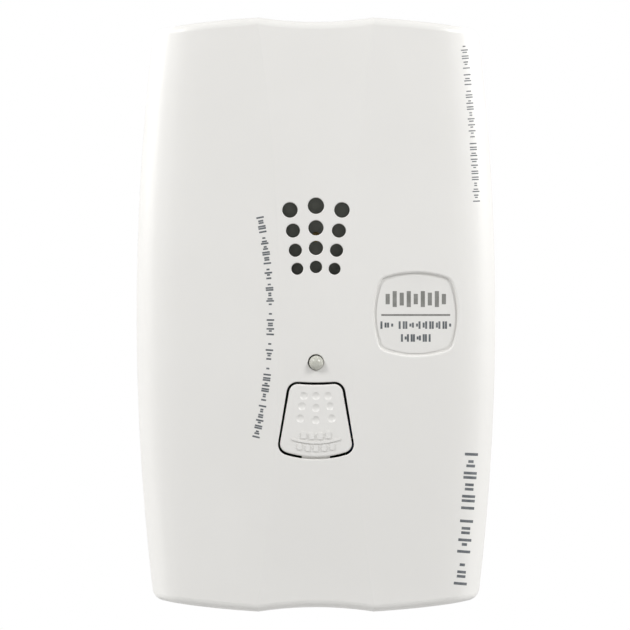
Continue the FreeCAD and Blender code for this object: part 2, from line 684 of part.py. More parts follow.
# ---- Sounder -----------------------------------------------------------------------------------
def sounder_base():
    base = peg(0, SOUNDER_Z, SOUNDER_R - 0.4, BOARD_FRONT, SOUNDER_BASE_FRONT)
    return bored(base, sounder_pin_places(), SOUNDER_PIN_R + HOLE_CLEARANCE)


def sounder_case():
    """The round horn, open at the back, with a ledge for the disc and one sound hole."""
    case = peg(0, SOUNDER_Z, SOUNDER_R, SOUNDER_BASE_FRONT, SOUNDER_FRONT)
    case = case.makeFillet(0.8, edges_at(case, SOUNDER_FRONT))
    bore = SOUNDER_R - SOUNDER_WALL
    case = case.cut(peg(0, SOUNDER_Z, bore, SOUNDER_BASE_FRONT - 1, SOUNDER_FRONT - SOUNDER_WALL))
    case = case.cut(peg(0, SOUNDER_Z, SOUND_HOLE_R, SOUNDER_FRONT - 3, SOUNDER_FRONT + 1))
    ledge_back = SOUNDER_DISC + SOUNDER_DISC_T
    ledge = ring(0, SOUNDER_Z, bore, bore - 1.0, ledge_back, ledge_back + 1.0)
    return case.fuse(ledge).removeSplitter()


def sounder_disc():
    return peg(0, SOUNDER_Z, SOUNDER_R - SOUNDER_WALL - 0.1, SOUNDER_DISC, SOUNDER_DISC + SOUNDER_DISC_T)


def sounder_ceramic():
    return peg(0, SOUNDER_Z, SOUNDER_R * 0.6, SOUNDER_DISC - SOUNDER_DISC_T, SOUNDER_DISC)


def sounder_pins():
    places = sounder_pin_places()
    return group([peg(x, z, SOUNDER_PIN_R, LEAD_BACK, SOUNDER_BASE_FRONT) for x, z in places])


def sounder_gasket():
    return ring(0, SOUNDER_Z, SOUNDER_R - 0.3, SOUNDER_R - 1.5, SOUNDER_FRONT, GASKET_FRONT)


# ---- Light -------------------------------------------------------------------------------------
def led_lens():
    """A round-topped lens with a flange at its base."""
    straight_end = LED_TIP - LED_R
    dome = Part.makeSphere(LED_R, at(0, straight_end, LED_Z))
    flange = peg(0, LED_Z, LED_FLANGE_R, LED_BASE, LED_BASE + LED_FLANGE_T)
    return fused([peg(0, LED_Z, LED_R, LED_BASE, straight_end), dome, flange])


def led_leads():
    return group([peg(x, z, LEAD_R, LEAD_BACK, LED_BASE) for x, z in led_lead_places()])


def led_spacer():
    spacer = peg(0, LED_Z, SPACER_R, BOARD_FRONT, LED_BASE)
    return bored(spacer, led_lead_places(), LEAD_R + HOLE_CLEARANCE)


# ---- Test switch -------------------------------------------------------------------------------
def switch_base():
    base = soft_pad(0, SWITCH_Z, 2 * SWITCH_HALF, 2 * SWITCH_HALF, BOARD_FRONT, SWITCH_FRONT, 0.3)
    return base.cut(peg(0, SWITCH_Z, PLUNGER_R + PLUNGER_GAP, PLUNGER_BACK - 0.4, SWITCH_FRONT + 1))


def switch_frame():
    frame = pad(0, SWITCH_Z, 2 * SWITCH_HALF, 2 * SWITCH_HALF, SWITCH_FRONT, SWITCH_FRONT + 0.3)
    return frame.cut(peg(0, SWITCH_Z, PLUNGER_R + PLUNGER_GAP, SWITCH_FRONT - 1, SWITCH_FRONT + 1))


def switch_plunger():
    stem = peg(0, SWITCH_Z, PLUNGER_R, PLUNGER_BACK, PLUNGER_FRONT)
    return stem.makeFillet(0.3, edges_at(stem, PLUNGER_FRONT))


def switch_legs():
    return group([pad(x, z, 0.3, 0.6, LEAD_BACK, BOARD_FRONT + 1.4) for x, z in switch_leg_places()])


# ---- Gas sensor --------------------------------------------------------------------------------
def co_sensor_can():
    """The steel can, with a rolled groove below its crimped top."""
    can = bar(SENSOR_X, SENSOR_DEPTH, SENSOR_R, SENSOR_BOTTOM, SENSOR_TOP)
    can = can.makeFillet(1.0, [e for e in can.Edges if abs(e.CenterOfMass.z - SENSOR_BOTTOM) < 0.01])
    groove = bar(SENSOR_X, SENSOR_DEPTH, SENSOR_R + 1, SENSOR_TOP - 6, SENSOR_TOP - 4.6)
    groove = groove.cut(bar(SENSOR_X, SENSOR_DEPTH, SENSOR_R - 0.35, SENSOR_TOP - 7, SENSOR_TOP - 3))
    floor_z = SENSOR_BOTTOM + SENSOR_WALL
    well = bar(SENSOR_X, SENSOR_DEPTH, SENSOR_R - SENSOR_WALL, floor_z, SENSOR_TOP + 1)
    return can.cut([groove, well])


def sensor_disc(z0, z1, bore=0.0):
    disc = bar(SENSOR_X, SENSOR_DEPTH, SENSOR_R - SENSOR_WALL - 0.05, z0, z1)
    return disc.cut(bar(SENSOR_X, SENSOR_DEPTH, bore, z0 - 1, z1 + 1)) if bore else disc


def co_sensor_cap():
    """The metal cap, with the small hole that lets gas in."""
    stub = bar(SENSOR_X, SENSOR_DEPTH, 3.2, SENSOR_TOP - 0.8, SENSOR_TOP + 2.4)
    gas_hole = bar(SENSOR_X, SENSOR_DEPTH, 0.8, SENSOR_TOP - 2, SENSOR_TOP + 3)
    return sensor_disc(SENSOR_TOP - 0.8, SENSOR_TOP + 0.6).fuse(stub).removeSplitter().cut(gas_hole)


def co_sensor_straps():
    """Two welded strips that carry the can and reach through the board."""
    (x, bottom_z), (_, top_z) = strap_places()
    bottom_strap = pad(x, bottom_z, STRAP_W, STRAP_T, LEAD_BACK, SENSOR_DEPTH)
    top_strap = pad(x, top_z, STRAP_W, STRAP_T, LEAD_BACK, SENSOR_DEPTH - 3.6)
    return group([bottom_strap, top_strap])


def sensor_saddles():
    saddles = []
    for z in SADDLE_ZS:
        foot = pad(SENSOR_X, z, 2 * SENSOR_R - 1, 3.0, BOARD_FRONT, SENSOR_DEPTH - 3.5)
        saddles.append(foot.cut(bar(SENSOR_X, SENSOR_DEPTH, SENSOR_R + 0.05, z - 5, z + 5)))
    return group(saddles)


# ---- Other parts on the board ------------------------------------------------------------------
def relay(bottom):
    case = soft_box(*RELAY_X, BOARD_FRONT + 0.4, RELAY_FRONT, bottom, bottom + RELAY_HEIGHT, 0.8)
    return case.makeFillet(0.6, edges_at(case, RELAY_FRONT))


def relay_pins():
    return group([peg(x, z, RELAY_PIN_R, LEAD_BACK, BOARD_FRONT + 0.4) for x, z in relay_pin_places()])


def mcu_body():
    return soft_pad(MCU_X, MCU_Z, 2 * MCU_HALF, 2 * MCU_HALF, BOARD_FRONT + 0.2, BOARD_FRONT + 1.5, 0.2)


def mcu_leads():
    """The controller's bent legs, the same on all four sides."""
    legs = []
    for i in range(MCU_PINS_PER_SIDE):
        low = (i - (MCU_PINS_PER_SIDE - 1) / 2) * MCU_PIN_PITCH - MCU_PIN_W / 2
        high = low + MCU_PIN_W
        riser = block(MCU_HALF, MCU_HALF + 0.35, BOARD_FRONT, BOARD_FRONT + 0.9, low, high)
        foot = block(MCU_HALF + 0.35, MCU_HALF + 1.0, BOARD_FRONT, BOARD_FRONT + 0.2, low, high)
        legs.append(riser.fuse(foot).removeSplitter())
    everyone = []
    for quarter in range(4):
        for leg in legs:
            turned = leg.copy()
            turned.rotate(at(0, 0, 0), FRONTWARD, 90 * quarter)
            turned.translate(at(MCU_X, 0, MCU_Z))
            everyone.append(turned)
    return group(everyone)


def capacitor_cans():
    cans = []
    for x, z in CAPACITOR_PLACES:
        can = peg(x, z, CAPACITOR_R, BOARD_FRONT + 1.2, CAPACITOR_FRONT)
        can = can.makeFillet(0.5, edges_at(can, CAPACITOR_FRONT))
        scored = CAPACITOR_FRONT - 0.15
        vent = [pad(x, z, w, h, scored, CAPACITOR_FRONT + 1) for w, h in ((5.0, 0.3), (0.3, 5.0))]
        cans.append(can.cut(vent))
    return group(cans)


def capacitor_bases():
    side = 2 * CAPACITOR_R + 0.6
    return group([
        soft_pad(x, z, side, side, BOARD_FRONT, BOARD_FRONT + 1.2, 1.0) for x, z in CAPACITOR_PLACES
    ])


def chips(places, width, height, thickness):
    return group([pad(x, z, width, height, BOARD_FRONT, BOARD_FRONT + thickness) for x, z in places])


def regulator():
    """The regulator's body, and its soldered tab and three legs."""
    x, z, leg_front = REGULATOR_X, REGULATOR_Z, BOARD_FRONT + 0.3
    body = soft_pad(x, z + 1.75, 6.6, 3.5, BOARD_FRONT, BOARD_FRONT + 1.7, 0.2)
    tab = pad(x, z + 4.1, 3.0, 1.2, BOARD_FRONT, leg_front)
    legs = [pad(x + step, z - 0.75, 0.8, 1.5, BOARD_FRONT, leg_front) for step in (-2.3, 0.0, 2.3)]
    return body, group([tab] + legs)


def sounder_coil():
    """A drum core, waisted where the wire is wound."""
    drum = peg(COIL_X, COIL_Z, COIL_R, BOARD_FRONT, BOARD_FRONT + 6.0)
    return drum.cut(ring(COIL_X, COIL_Z, COIL_R + 1, COIL_R - 1.4, BOARD_FRONT + 1.0, BOARD_FRONT + 5.0))


def coil_winding():
    return ring(COIL_X, COIL_Z, COIL_R - 0.3, COIL_R - 1.4, BOARD_FRONT + 1.0, BOARD_FRONT + 5.0)


def crystal_can():
    return soft_pad(CRYSTAL_X, CRYSTAL_Z, 11.0, 4.4, BOARD_FRONT, BOARD_FRONT + 3.6, 2.0)


# ---- Harness header ----------------------------------------------------------------------------
def header_shroud():
    """The socket that faces the wall box, with a latch rib on top."""
    half_x, half_z = HEADER_HALF
    shell = pad(0, 0, 2 * half_x, 2 * half_z, HEADER_BACK, BOARD_BACK)
    inner_x, inner_z = half_x - HEADER_WALL, half_z - HEADER_WALL
    well = pad(0, 0, 2 * inner_x, 2 * inner_z, HEADER_BACK - 1, BOARD_BACK - 1.2)
    latch = block(-2.5, 2.5, HEADER_BACK + 1, BOARD_BACK, half_z, half_z + 0.9)
    return shell.fuse(latch).removeSplitter().cut([well] + header_pin_bars(HEADER_BACK, BOARD_BACK + 1))


def header_pin_bars(d0, d1):
    return [pad(x, z, HEADER_PIN, HEADER_PIN, d0, d1) for x, z in header_pin_places()]


def header_pins():
    return group(header_pin_bars(HEADER_BACK + 0.7, BOARD_FRONT + 1.0))


# ---- The whole detector ------------------------------------------------------------------------
def build_nodes():
    outer = case_form(0.0, PARTING + PARTING_GAP)
    inner = case_form(WALL, PARTING - 2)
    regulator_body, regulator_leads = regulator()
    nodes = {
        "front_cover": front_cover(outer, inner),
        "test_reset_button": test_reset_button(outer, inner),
        "button_hinge_web": button_hinge_web(),
        "name_label": name_label(),
        "rear_housing": rear_housing(),
        "rating_label": rating_label(),
        "mounting_plate": mounting_plate(),
        "locking_screw": locking_screw(),
        "case_screws": case_screws(),
        "board_screws": board_screws(),
        "main_board": main_board(),
        "sounder_base": sounder_base(),
        "sounder_case": sounder_case(),
        "sounder_disc": sounder_disc(),
        "sounder_ceramic": sounder_ceramic(),
        "sounder_pins": sounder_pins(),
        "sounder_gasket": sounder_gasket(),
        "led_lens": led_lens(),
        "led_leads": led_leads(),
        "led_spacer": led_spacer(),
        "switch_base": switch_base(),
        "switch_frame": switch_frame(),
        "switch_plunger": switch_plunger(),
        "switch_legs": switch_legs(),
        "co_sensor_can": co_sensor_can(),
        "co_sensor_cap": co_sensor_cap(),
        "co_sensor_seal": sensor_disc(SENSOR_TOP - 2.6, SENSOR_TOP - 0.8, bore=2.5),
        "co_sensor_electrode": sensor_disc(SENSOR_TOP - 3.8, SENSOR_TOP - 2.6),
        "co_sensor_straps": co_sensor_straps(),
        "sensor_saddles": sensor_saddles(),
        "relay_pins": relay_pins(),
        "mcu_body": mcu_body(),
        "mcu_leads": mcu_leads(),
        "regulator_body": regulator_body,
        "regulator_leads": regulator_leads,
        "capacitor_cans": capacitor_cans(),
        "capacitor_bases": capacitor_bases(),
        "chip_resistors": chips(RESISTOR_PLACES, 2.0, 1.25, 0.5),
        "chip_capacitors": chips(CHIP_CAPACITOR_PLACES, 2.0, 1.25, 0.9),
        "diode_bodies": chips(DIODE_PLACES, 4.3, 2.6, 2.2),
        "transistor_bodies": chips(TRANSISTOR_PLACES, 2.9, 1.3, 1.0),
        "sounder_coil": sounder_coil(),
        "coil_winding": coil_winding(),
        "crystal_can": crystal_can(),
        "header_shroud": header_shroud(),
        "header_pins": header_pins(),
    }
    for name, bottom in RELAY_BOTTOMS.items():
        nodes[name] = relay(bottom)
    return nodes


def main():
    os.makedirs("parts", exist_ok=True)
    for name, shape in build_nodes().items():
        shape.exportStep(f"parts/{name}.step")
        print(name, len(shape.Solids), "valid" if shape.isValid() else "INVALID", round(shape.Volume, 2))


main()
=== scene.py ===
import json
import math
import random

import bmesh
import bpy
from bpy.props import FloatProperty, FloatVectorProperty, PointerProperty
from bpy.types import Operator, Panel, PropertyGroup
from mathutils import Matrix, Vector
from mathutils.bvhtree import BVHTree


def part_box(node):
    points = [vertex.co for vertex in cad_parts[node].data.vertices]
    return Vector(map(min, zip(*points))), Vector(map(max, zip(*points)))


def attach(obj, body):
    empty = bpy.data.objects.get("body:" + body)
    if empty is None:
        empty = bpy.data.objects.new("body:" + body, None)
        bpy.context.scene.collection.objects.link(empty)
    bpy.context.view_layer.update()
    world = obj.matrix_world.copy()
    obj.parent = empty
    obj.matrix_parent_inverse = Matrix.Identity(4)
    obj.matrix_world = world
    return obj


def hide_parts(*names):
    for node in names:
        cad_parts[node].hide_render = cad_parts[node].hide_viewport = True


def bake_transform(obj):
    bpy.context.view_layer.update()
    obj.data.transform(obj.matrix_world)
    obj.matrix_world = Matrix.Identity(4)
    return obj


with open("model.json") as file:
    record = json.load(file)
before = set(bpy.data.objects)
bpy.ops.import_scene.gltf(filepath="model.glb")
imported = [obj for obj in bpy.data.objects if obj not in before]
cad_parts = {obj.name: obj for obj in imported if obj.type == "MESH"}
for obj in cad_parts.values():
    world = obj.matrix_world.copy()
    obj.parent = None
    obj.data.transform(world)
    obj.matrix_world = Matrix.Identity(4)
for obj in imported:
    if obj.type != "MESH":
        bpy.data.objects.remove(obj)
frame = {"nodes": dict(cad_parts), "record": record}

bl_info = {
    "name": "Gas Detector Dresser",
    "version": (1, 0, 0),
    "blender": (4, 5, 0),
    "location": "3D View > Sidebar > Detector",
    "description": "Finishes, prints and small parts for a wall-mounted carbon monoxide detector",
    "category": "Object",
}

MM = 0.001
NODES = frame["nodes"]
SLOTS = {row["node"]: row["material_slot"] for row in frame["record"]["subparts"]}
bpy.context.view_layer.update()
COVER_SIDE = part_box("front_cover")[1].x
LENS_LOW, LENS_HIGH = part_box("led_lens")
WEB_LOW, WEB_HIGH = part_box("button_hinge_web")
LABEL_LOW, LABEL_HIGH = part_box("name_label")
RATING_LOW, RATING_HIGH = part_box("rating_label")
BOARD_LOW, BOARD_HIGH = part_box("main_board")
SIDE_BOW_RADIUS = 0.5136  # bow of the case's long sides
INK_BURIED = 0.01 * MM  # how far a printed mark reaches into what it is printed on
BOARD_INK = 0.03 * MM  # how far marks and pads stand up on the circuit board
PART_INK = 0.02 * MM  # how far marks stand up on the parts on the board


# ---- Settings ----------------------------------------------------------------------------------
def length(name, description, default):
    return FloatProperty(
        name=name, description=description, default=default, min=0.0, precision=5, unit="LENGTH",
        subtype="DISTANCE",
    )


def share(name, description, default):
    return FloatProperty(
        name=name, description=description, default=default, min=0.0, max=1.0, subtype="FACTOR"
    )


def amount(name, description, default):
    return FloatProperty(name=name, description=description, default=default)


def colour(name, description, default):
    return FloatVectorProperty(
        name=name, description=description, default=default, size=3, min=0.0, max=1.0, subtype="COLOR"
    )


class CoverSettings(PropertyGroup):
    """The white mouldings"""
    colour: colour("Colour", "Colour of the white moulded case", (0.80, 0.79, 0.765))
    shade: colour("Shade", "Colour of the case's slightly darker patches", (0.775, 0.765, 0.74))
    grain: length("Grain", "Size of the fine moulded grain", 0.22 * MM)
    grain_depth: length("Grain Depth", "Depth of the moulded grain", 0.004 * MM)
    gloss: share("Roughness", "Roughness of the moulded face", 0.38)


class PrintSettings(PropertyGroup):
    """The printed marks"""
    ink: colour("Face Ink", "Colour of the marks printed on the face", (0.10, 0.112, 0.122))
    label_ink: colour("Label Ink", "Colour of the marks printed on the name label", (0.20, 0.20, 0.185))
    thickness: length("Ink Thickness", "How far the ink stands up", 0.02 * MM)
    small_height: length("Side Line Height", "Height of the marks beside the grille", 1.6 * MM)
    upper_height: length("Upper Line Height", "Height of the marks at the upper right", 1.5 * MM)
    large_height: length("Lower Line Height", "Height of the marks at the lower right", 2.85 * MM)


class LightSettings(PropertyGroup):
    """The status light"""
    colour: colour("Lens", "Colour of the milky lens", (0.74, 0.74, 0.66))
    radius: length("Lens Radius", "Radius of the lens's dome", (LENS_HIGH.x - LENS_LOW.x) / 2 - 0.35 * MM)
    lean: length("Lean", "How far the light sits off the middle of its hole", 0.09 * MM)


class MetalSettings(PropertyGroup):
    """The plate and the screws"""
    zinc: colour("Zinc", "Colour of the zinc-plated steel", (0.56, 0.57, 0.58))
    screw: colour("Screws", "Colour of the plated screws", (0.60, 0.60, 0.58))
    spangle: length("Spangle", "Size of the zinc's crystal pattern", 3.0 * MM)


class BoardSettings(PropertyGroup):
    """The circuit board"""
    mask: colour("Solder Mask", "Colour of the board's green coat", (0.012, 0.10, 0.035))
    track: colour("Tracks", "Colour of the coat over copper", (0.025, 0.17, 0.055))
    laminate: colour("Laminate", "Colour of the board's cut edges", (0.42, 0.36, 0.19))
    legend_width: length("Legend Line", "Width of the lines printed on the board", 0.2 * MM)
    solder_reach: length("Solder Joint", "Radius of a soldered joint on the board", 1.0 * MM)


class StageSettings(PropertyGroup):
    """Floor, lights and camera"""
    floor_drop: length("Floor Drop", "How far the floor is below the object's middle", 0.10)
    floor_size: length("Floor Size", "Side of the square floor", 1.0)
    camera_distance: length("Camera Distance", "From the camera to the middle of the case", 1.151)
    lens: FloatProperty(name="Lens", description="Focal length of the camera", default=300.0, unit="CAMERA")
    key_power: amount("Soft Box Power", "Power of each high soft box in front, in watts", 2.95)
    side_power: amount("Side Power", "Power of each soft box beside the case, in watts", 1.2)
    back_power: amount("Back Power", "Power of each soft box behind the case, in watts", 2.0)
    fill: amount("Fill", "Brightness of the even light from all round", 0.30)


# ---- Shared shader groups ----------------------------------------------------------------------
def add_node(tree, kind, inputs=None, **settings):
    """A shader node, with its settings and its inputs' values or links."""
    made = tree.nodes.new("ShaderNode" + kind)
    for key, value in settings.items():
        setattr(made, key, value)
    for key, value in (inputs or {}).items():
        if isinstance(value, bpy.types.NodeSocket):
            tree.links.new(value, made.inputs[key])
        else:
            made.inputs[key].default_value = value
    return made


GROUPS = {}


def shared_group(key, name, inputs, outputs):
    """Makes a recipe, which returns one value for each output, into a shared shader group's builder."""
    def wrap(recipe):
        def build():
            tree = bpy.data.node_groups.new(name, "ShaderNodeTree")
            for title, default in inputs.items():
                made = tree.interface.new_socket(title, in_out="INPUT", socket_type="NodeSocketFloat")
                made.default_value = default
            for title in outputs:
                tree.interface.new_socket(title, in_out="OUTPUT", socket_type="NodeSocketFloat")
            given = tree.nodes.new("NodeGroupInput").outputs
            result = tree.nodes.new("NodeGroupOutput").inputs
            for title, value in zip(outputs, recipe(tree, given)):
                tree.links.new(value, result[title])
            return tree
        GROUPS[key] = build
        return build
    return wrap


def math_node(tree, operation, first, second=0.0, third=0.0, clamp=False):
    made = add_node(tree, "Math", {0: first, 1: second, 2: third}, operation=operation)
    made.use_clamp = clamp
    return made.outputs[0]


def object_place(tree):
    return add_node(tree, "TexCoord").outputs["Object"]


def noise(tree, place, scale, detail=2.0, roughness=0.5):
    inputs = {"Vector": place, "Scale": scale, "Detail": detail, "Roughness": roughness}
    return add_node(tree, "TexNoise", inputs).outputs["Fac"]


def scale_for(tree, size_mm, cells=1000.0):
    """A texture's scale, in cells per metre, from a size in millimetres."""
    return math_node(tree, "DIVIDE", cells, size_mm)


def ramp(tree, value, low, high, out_low=0.0, out_high=1.0):
    made = add_node(
        tree, "MapRange",
        {"Value": value, "From Min": low, "From Max": high, "To Min": out_low, "To Max": out_high},
        interpolation_type="SMOOTHSTEP",
    )
    return made.outputs["Result"]


@shared_group("grain", "Moulded Grain", {"Grain Size": 0.2, "Cloud Size": 20.0}, ("Height", "Cloud"))
def grain_group(tree, given):
    """Fine moulded grain and slow clouds of tone."""
    place = object_place(tree)
    height = noise(tree, place, scale_for(tree, given["Grain Size"]), 3.0, 0.6)
    clouds = noise(tree, place, scale_for(tree, given["Cloud Size"]), 3.0)
    return height, ramp(tree, clouds, 0.3, 0.7)


@shared_group("wear", "Edge Wear", {"Width": 0.3, "Breakup Size": 1.0}, ("Mask",))
def wear_group(tree, given):
    """Where edges and corners have been rubbed, broken up by noise."""
    width = math_node(tree, "MULTIPLY", given["Width"], MM)
    rounded = add_node(tree, "Bevel", {"Radius": width}, samples=4).outputs["Normal"]
    flat = add_node(tree, "NewGeometry").outputs["Normal"]
    dot = add_node(tree, "VectorMath", {0: rounded, 1: flat}, operation="DOT_PRODUCT").outputs["Value"]
    edge = ramp(tree, math_node(tree, "SUBTRACT", 1.0, dot), 0.01, 0.12)
    scale = scale_for(tree, given["Breakup Size"])
    broken = ramp(tree, noise(tree, object_place(tree), scale, 4.0), 0.4, 0.62)
    return (math_node(tree, "MULTIPLY", edge, broken),)


@shared_group("dust", "Settled Dust", {"Speck Size": 0.5}, ("Mask",))
def dust_group(tree, given):
    """Dust that has settled on faces that look upward."""
    normal = add_node(tree, "NewGeometry").outputs["Normal"]
    upward = add_node(tree, "SeparateXYZ", {0: normal}).outputs["Z"]
    facing = ramp(tree, upward, 0.35, 1.0)
    scale = scale_for(tree, given["Speck Size"])
    specks = ramp(tree, noise(tree, object_place(tree), scale, 5.0, 0.7), 0.35, 0.75)
    return (math_node(tree, "MULTIPLY", facing, specks),)


@shared_group(
    "drawn", "Drawn Lines", {"Line Size": 0.05, "Along X": 1.0, "Along Y": 1.0, "Along Z": 1.0},
    ("Height", "Streak"),
)
def drawn_group(tree, given):
    """Long fine lines left by rolling, drawing or brushing."""
    squeeze = {0: given["Along X"], 1: given["Along Y"], 2: given["Along Z"]}
    squeezed = add_node(tree, "CombineXYZ", squeeze).outputs[0]
    inputs = {0: object_place(tree), 1: squeezed}
    place = add_node(tree, "VectorMath", inputs, operation="MULTIPLY").outputs[0]
    scale = scale_for(tree, given["Line Size"])
    slow = noise(tree, place, math_node(tree, "MULTIPLY", scale, 0.1), 2.0)
    return noise(tree, place, scale, 3.0, 0.6), ramp(tree, slow, 0.3, 0.7)


@shared_group("smudge", "Handling Marks", {"Mark Size": 12.0}, ("Mask",))
def smudge_group(tree, given):
    """Faint handling marks that change how rough a surface is."""
    place = object_place(tree)
    scale = scale_for(tree, given["Mark Size"])
    blots = ramp(tree, noise(tree, place, scale, 2.0), 0.45, 0.7)
    fine = noise(tree, place, math_node(tree, "MULTIPLY", scale, 9.0), 2.0)
    return (math_node(tree, "MULTIPLY", blots, ramp(tree, fine, 0.3, 0.8, 0.5, 1.0)),)


WAVES_PER_METRE = 300.0  # of a wave texture whose bands are about a millimetre apart


@shared_group("weave", "Glass Weave", {"Thread Size": 0.5}, ("Height",))
def weave_group(tree, given):
    """Crossed glass threads, as in a board's laminate."""
    scale = scale_for(tree, given["Thread Size"], WAVES_PER_METRE)
    inputs = {"Vector": object_place(tree), "Scale": scale, "Distortion": 0.3}
    waves = [add_node(tree, "TexWave", inputs, bands_direction=way).outputs["Fac"] for way in ("X", "Z")]
    return (math_node(tree, "MAXIMUM", *waves),)


@shared_group(
    "tracks", "Copper Tracks", {"Patch Size": 9.0, "Track Pitch": 1.3, "Bare Share": 0.3}, ("Mask",)
)
def track_group(tree, given):
    """Straight copper tracks under a board's coat, in patches that run upright or level."""
    inputs = {0: object_place(tree), 1: (1.0, 0.0, 1.0)}
    flat = add_node(tree, "VectorMath", inputs, operation="MULTIPLY").outputs[0]
    inputs = {"Vector": flat, "Scale": scale_for(tree, given["Patch Size"]), "Randomness": 0.7}
    patch = add_node(tree, "TexVoronoi", inputs, distance="CHEBYCHEV").outputs["Color"]
    picks = add_node(tree, "SeparateColor", {0: patch}).outputs
    axes = add_node(tree, "SeparateXYZ", {0: flat}).outputs
    level = math_node(tree, "GREATER_THAN", picks[0], 0.5)
    between = math_node(tree, "SUBTRACT", axes["Z"], axes["X"])
    across = math_node(tree, "MULTIPLY_ADD", level, between, axes["X"])
    turns = math_node(tree, "DIVIDE", math_node(tree, "MULTIPLY", across, 1000.0), given["Track Pitch"])
    stripe = ramp(tree, math_node(tree, "PINGPONG", turns, 0.5), 0.13, 0.18, 1.0, 0.0)
    there = math_node(tree, "GREATER_THAN", picks[1], given["Bare Share"])
    return (math_node(tree, "MULTIPLY", stripe, there),)


@shared_group("cells", "Cells", {"Cell Size": 0.5}, ("Height", "Tone"))
def cell_group(tree, given):
    """Round open cells, as in foam, or crystals, as in zinc."""
    inputs = {"Vector": object_place(tree), "Scale": scale_for(tree, given["Cell Size"])}
    cells = add_node(tree, "TexVoronoi", inputs).outputs
    return cells["Distance"], add_node(tree, "SeparateColor", {0: cells["Color"]}).outputs[0]


def build_groups():
    """Builds each shared shader group once, in place of its builder."""
    GROUPS.update({key: build() for key, build in GROUPS.items()})


def placed(tree, key, **inputs):
    """A shared group placed in a material with its own values."""
    made = tree.nodes.new("ShaderNodeGroup")
    made.node_tree = GROUPS[key]
    for title, value in inputs.items():
        made.inputs[title.replace("_", " ")].default_value = value
    return made.outputs


def mixed(tree, mask, first, second):
    """A colour between two, by a mask; each is a colour or a socket."""
    made = tree.nodes.new("ShaderNodeMix")
    made.data_type = "RGBA"
    tree.links.new(mask, made.inputs["Factor"])
    for key, value in ((6, first), (7, second)):
        if isinstance(value, bpy.types.NodeSocket):
            tree.links.new(value, made.inputs[key])
        else:
            made.inputs[key].default_value = (*value, 1.0)
    return made.outputs[2]


def bare_material(name, **sockets):
    """A material whose shader holds the given plain values, with its tree and shader."""
    material = bpy.data.materials.new(name)
    material.use_nodes = True
    tree = material.node_tree
    shader = tree.nodes["Principled BSDF"]
    for title, value in sockets.items():
        shader.inputs[title.replace("_", " ")].default_value = value
    return material, tree, shader


def scaled(tree, mask, factor):
    return math_node(tree, "MULTIPLY", mask, factor)


def toned(tone, factor):
    """A colour made darker or lighter by a factor."""
    return tuple(min(factor * c, 1.0) for c in tone)


def connect(tree, shader, colour_from, roughness_from, height, depth):
    """Feeds a shader its colour, its roughness and a bump of the given depth in metres."""
    tree.links.new(colour_from, shader.inputs["Base Color"])
    tree.links.new(roughness_from, shader.inputs["Roughness"])
    bump = add_node(tree, "Bump", {"Height": height, "Distance": depth})
    tree.links.new(bump.outputs["Normal"], shader.inputs["Normal"])


def moulded(name, light, dark, rough, grain=0.2, depth=0.004, cloud=20.0, dust=0.0, wear=None, **sockets):
    """Moulded plastic, rubber or ceramic: clouds of tone, moulded grain, dust, rubbed edges."""
    material, tree, shader = bare_material(name, **sockets)
    skin_of = placed(tree, "grain", Grain_Size=grain, Cloud_Size=cloud)
    tone = mixed(tree, skin_of["Cloud"], dark, light)
    if dust:
        tone = mixed(tree, scaled(tree, placed(tree, "dust")["Mask"], dust), tone, (0.45, 0.43, 0.40))
    if wear:
        mask = placed(tree, "wear", Width=0.25)["Mask"]
        tone = mixed(tree, scaled(tree, mask, 0.7), tone, wear)
    marks = placed(tree, "smudge")["Mask"]
    roughness = ramp(tree, marks, 0.0, 1.0, rough, max(rough - 0.07, 0.05))
    connect(tree, shader, tone, roughness, skin_of["Height"], depth * MM)
    return material


def metal(name, light, dark, rough, line=0.05, along=(1.0, 1.0, 1.0), depth=0.0015, spangle=None, worn=None):
    """Bare or plated metal: drawn lines, streaks, tarnish, crystals and brighter edges."""
    material, tree, shader = bare_material(name, Metallic=1.0)
    axes = dict(zip(("Along_X", "Along_Y", "Along_Z"), along))
    lines = placed(tree, "drawn", Line_Size=line, **axes)
    tone = mixed(tree, lines["Streak"], dark, light)
    roughness = ramp(tree, lines["Streak"], 0.0, 1.0, rough + 0.08, rough)
    if spangle:
        crystals = placed(tree, "cells", Cell_Size=spangle)
        tone = mixed(tree, scaled(tree, crystals["Tone"], 0.35), tone, toned(light, 0.72))
        roughness = math_node(tree, "MULTIPLY_ADD", crystals["Tone"], 0.12, roughness)
    if worn:
        tone = mixed(tree, placed(tree, "wear", Width=0.35)["Mask"], tone, worn)
    connect(tree, shader, tone, roughness, lines["Height"], depth * MM)
    return material


def ink(name, tone):
    """Pad-printed ink, a little thin in places."""
    material, tree, shader = bare_material(name)
    skin_of = placed(tree, "grain", Grain_Size=0.12, Cloud_Size=1.4)
    thin = tuple(c + 0.06 for c in tone)
    colour_from = mixed(tree, skin_of["Cloud"], thin, tone)
    roughness = ramp(tree, skin_of["Height"], 0.3, 0.7, 0.42, 0.6)
    connect(tree, shader, colour_from, roughness, skin_of["Height"], 0.003 * MM)
    return material


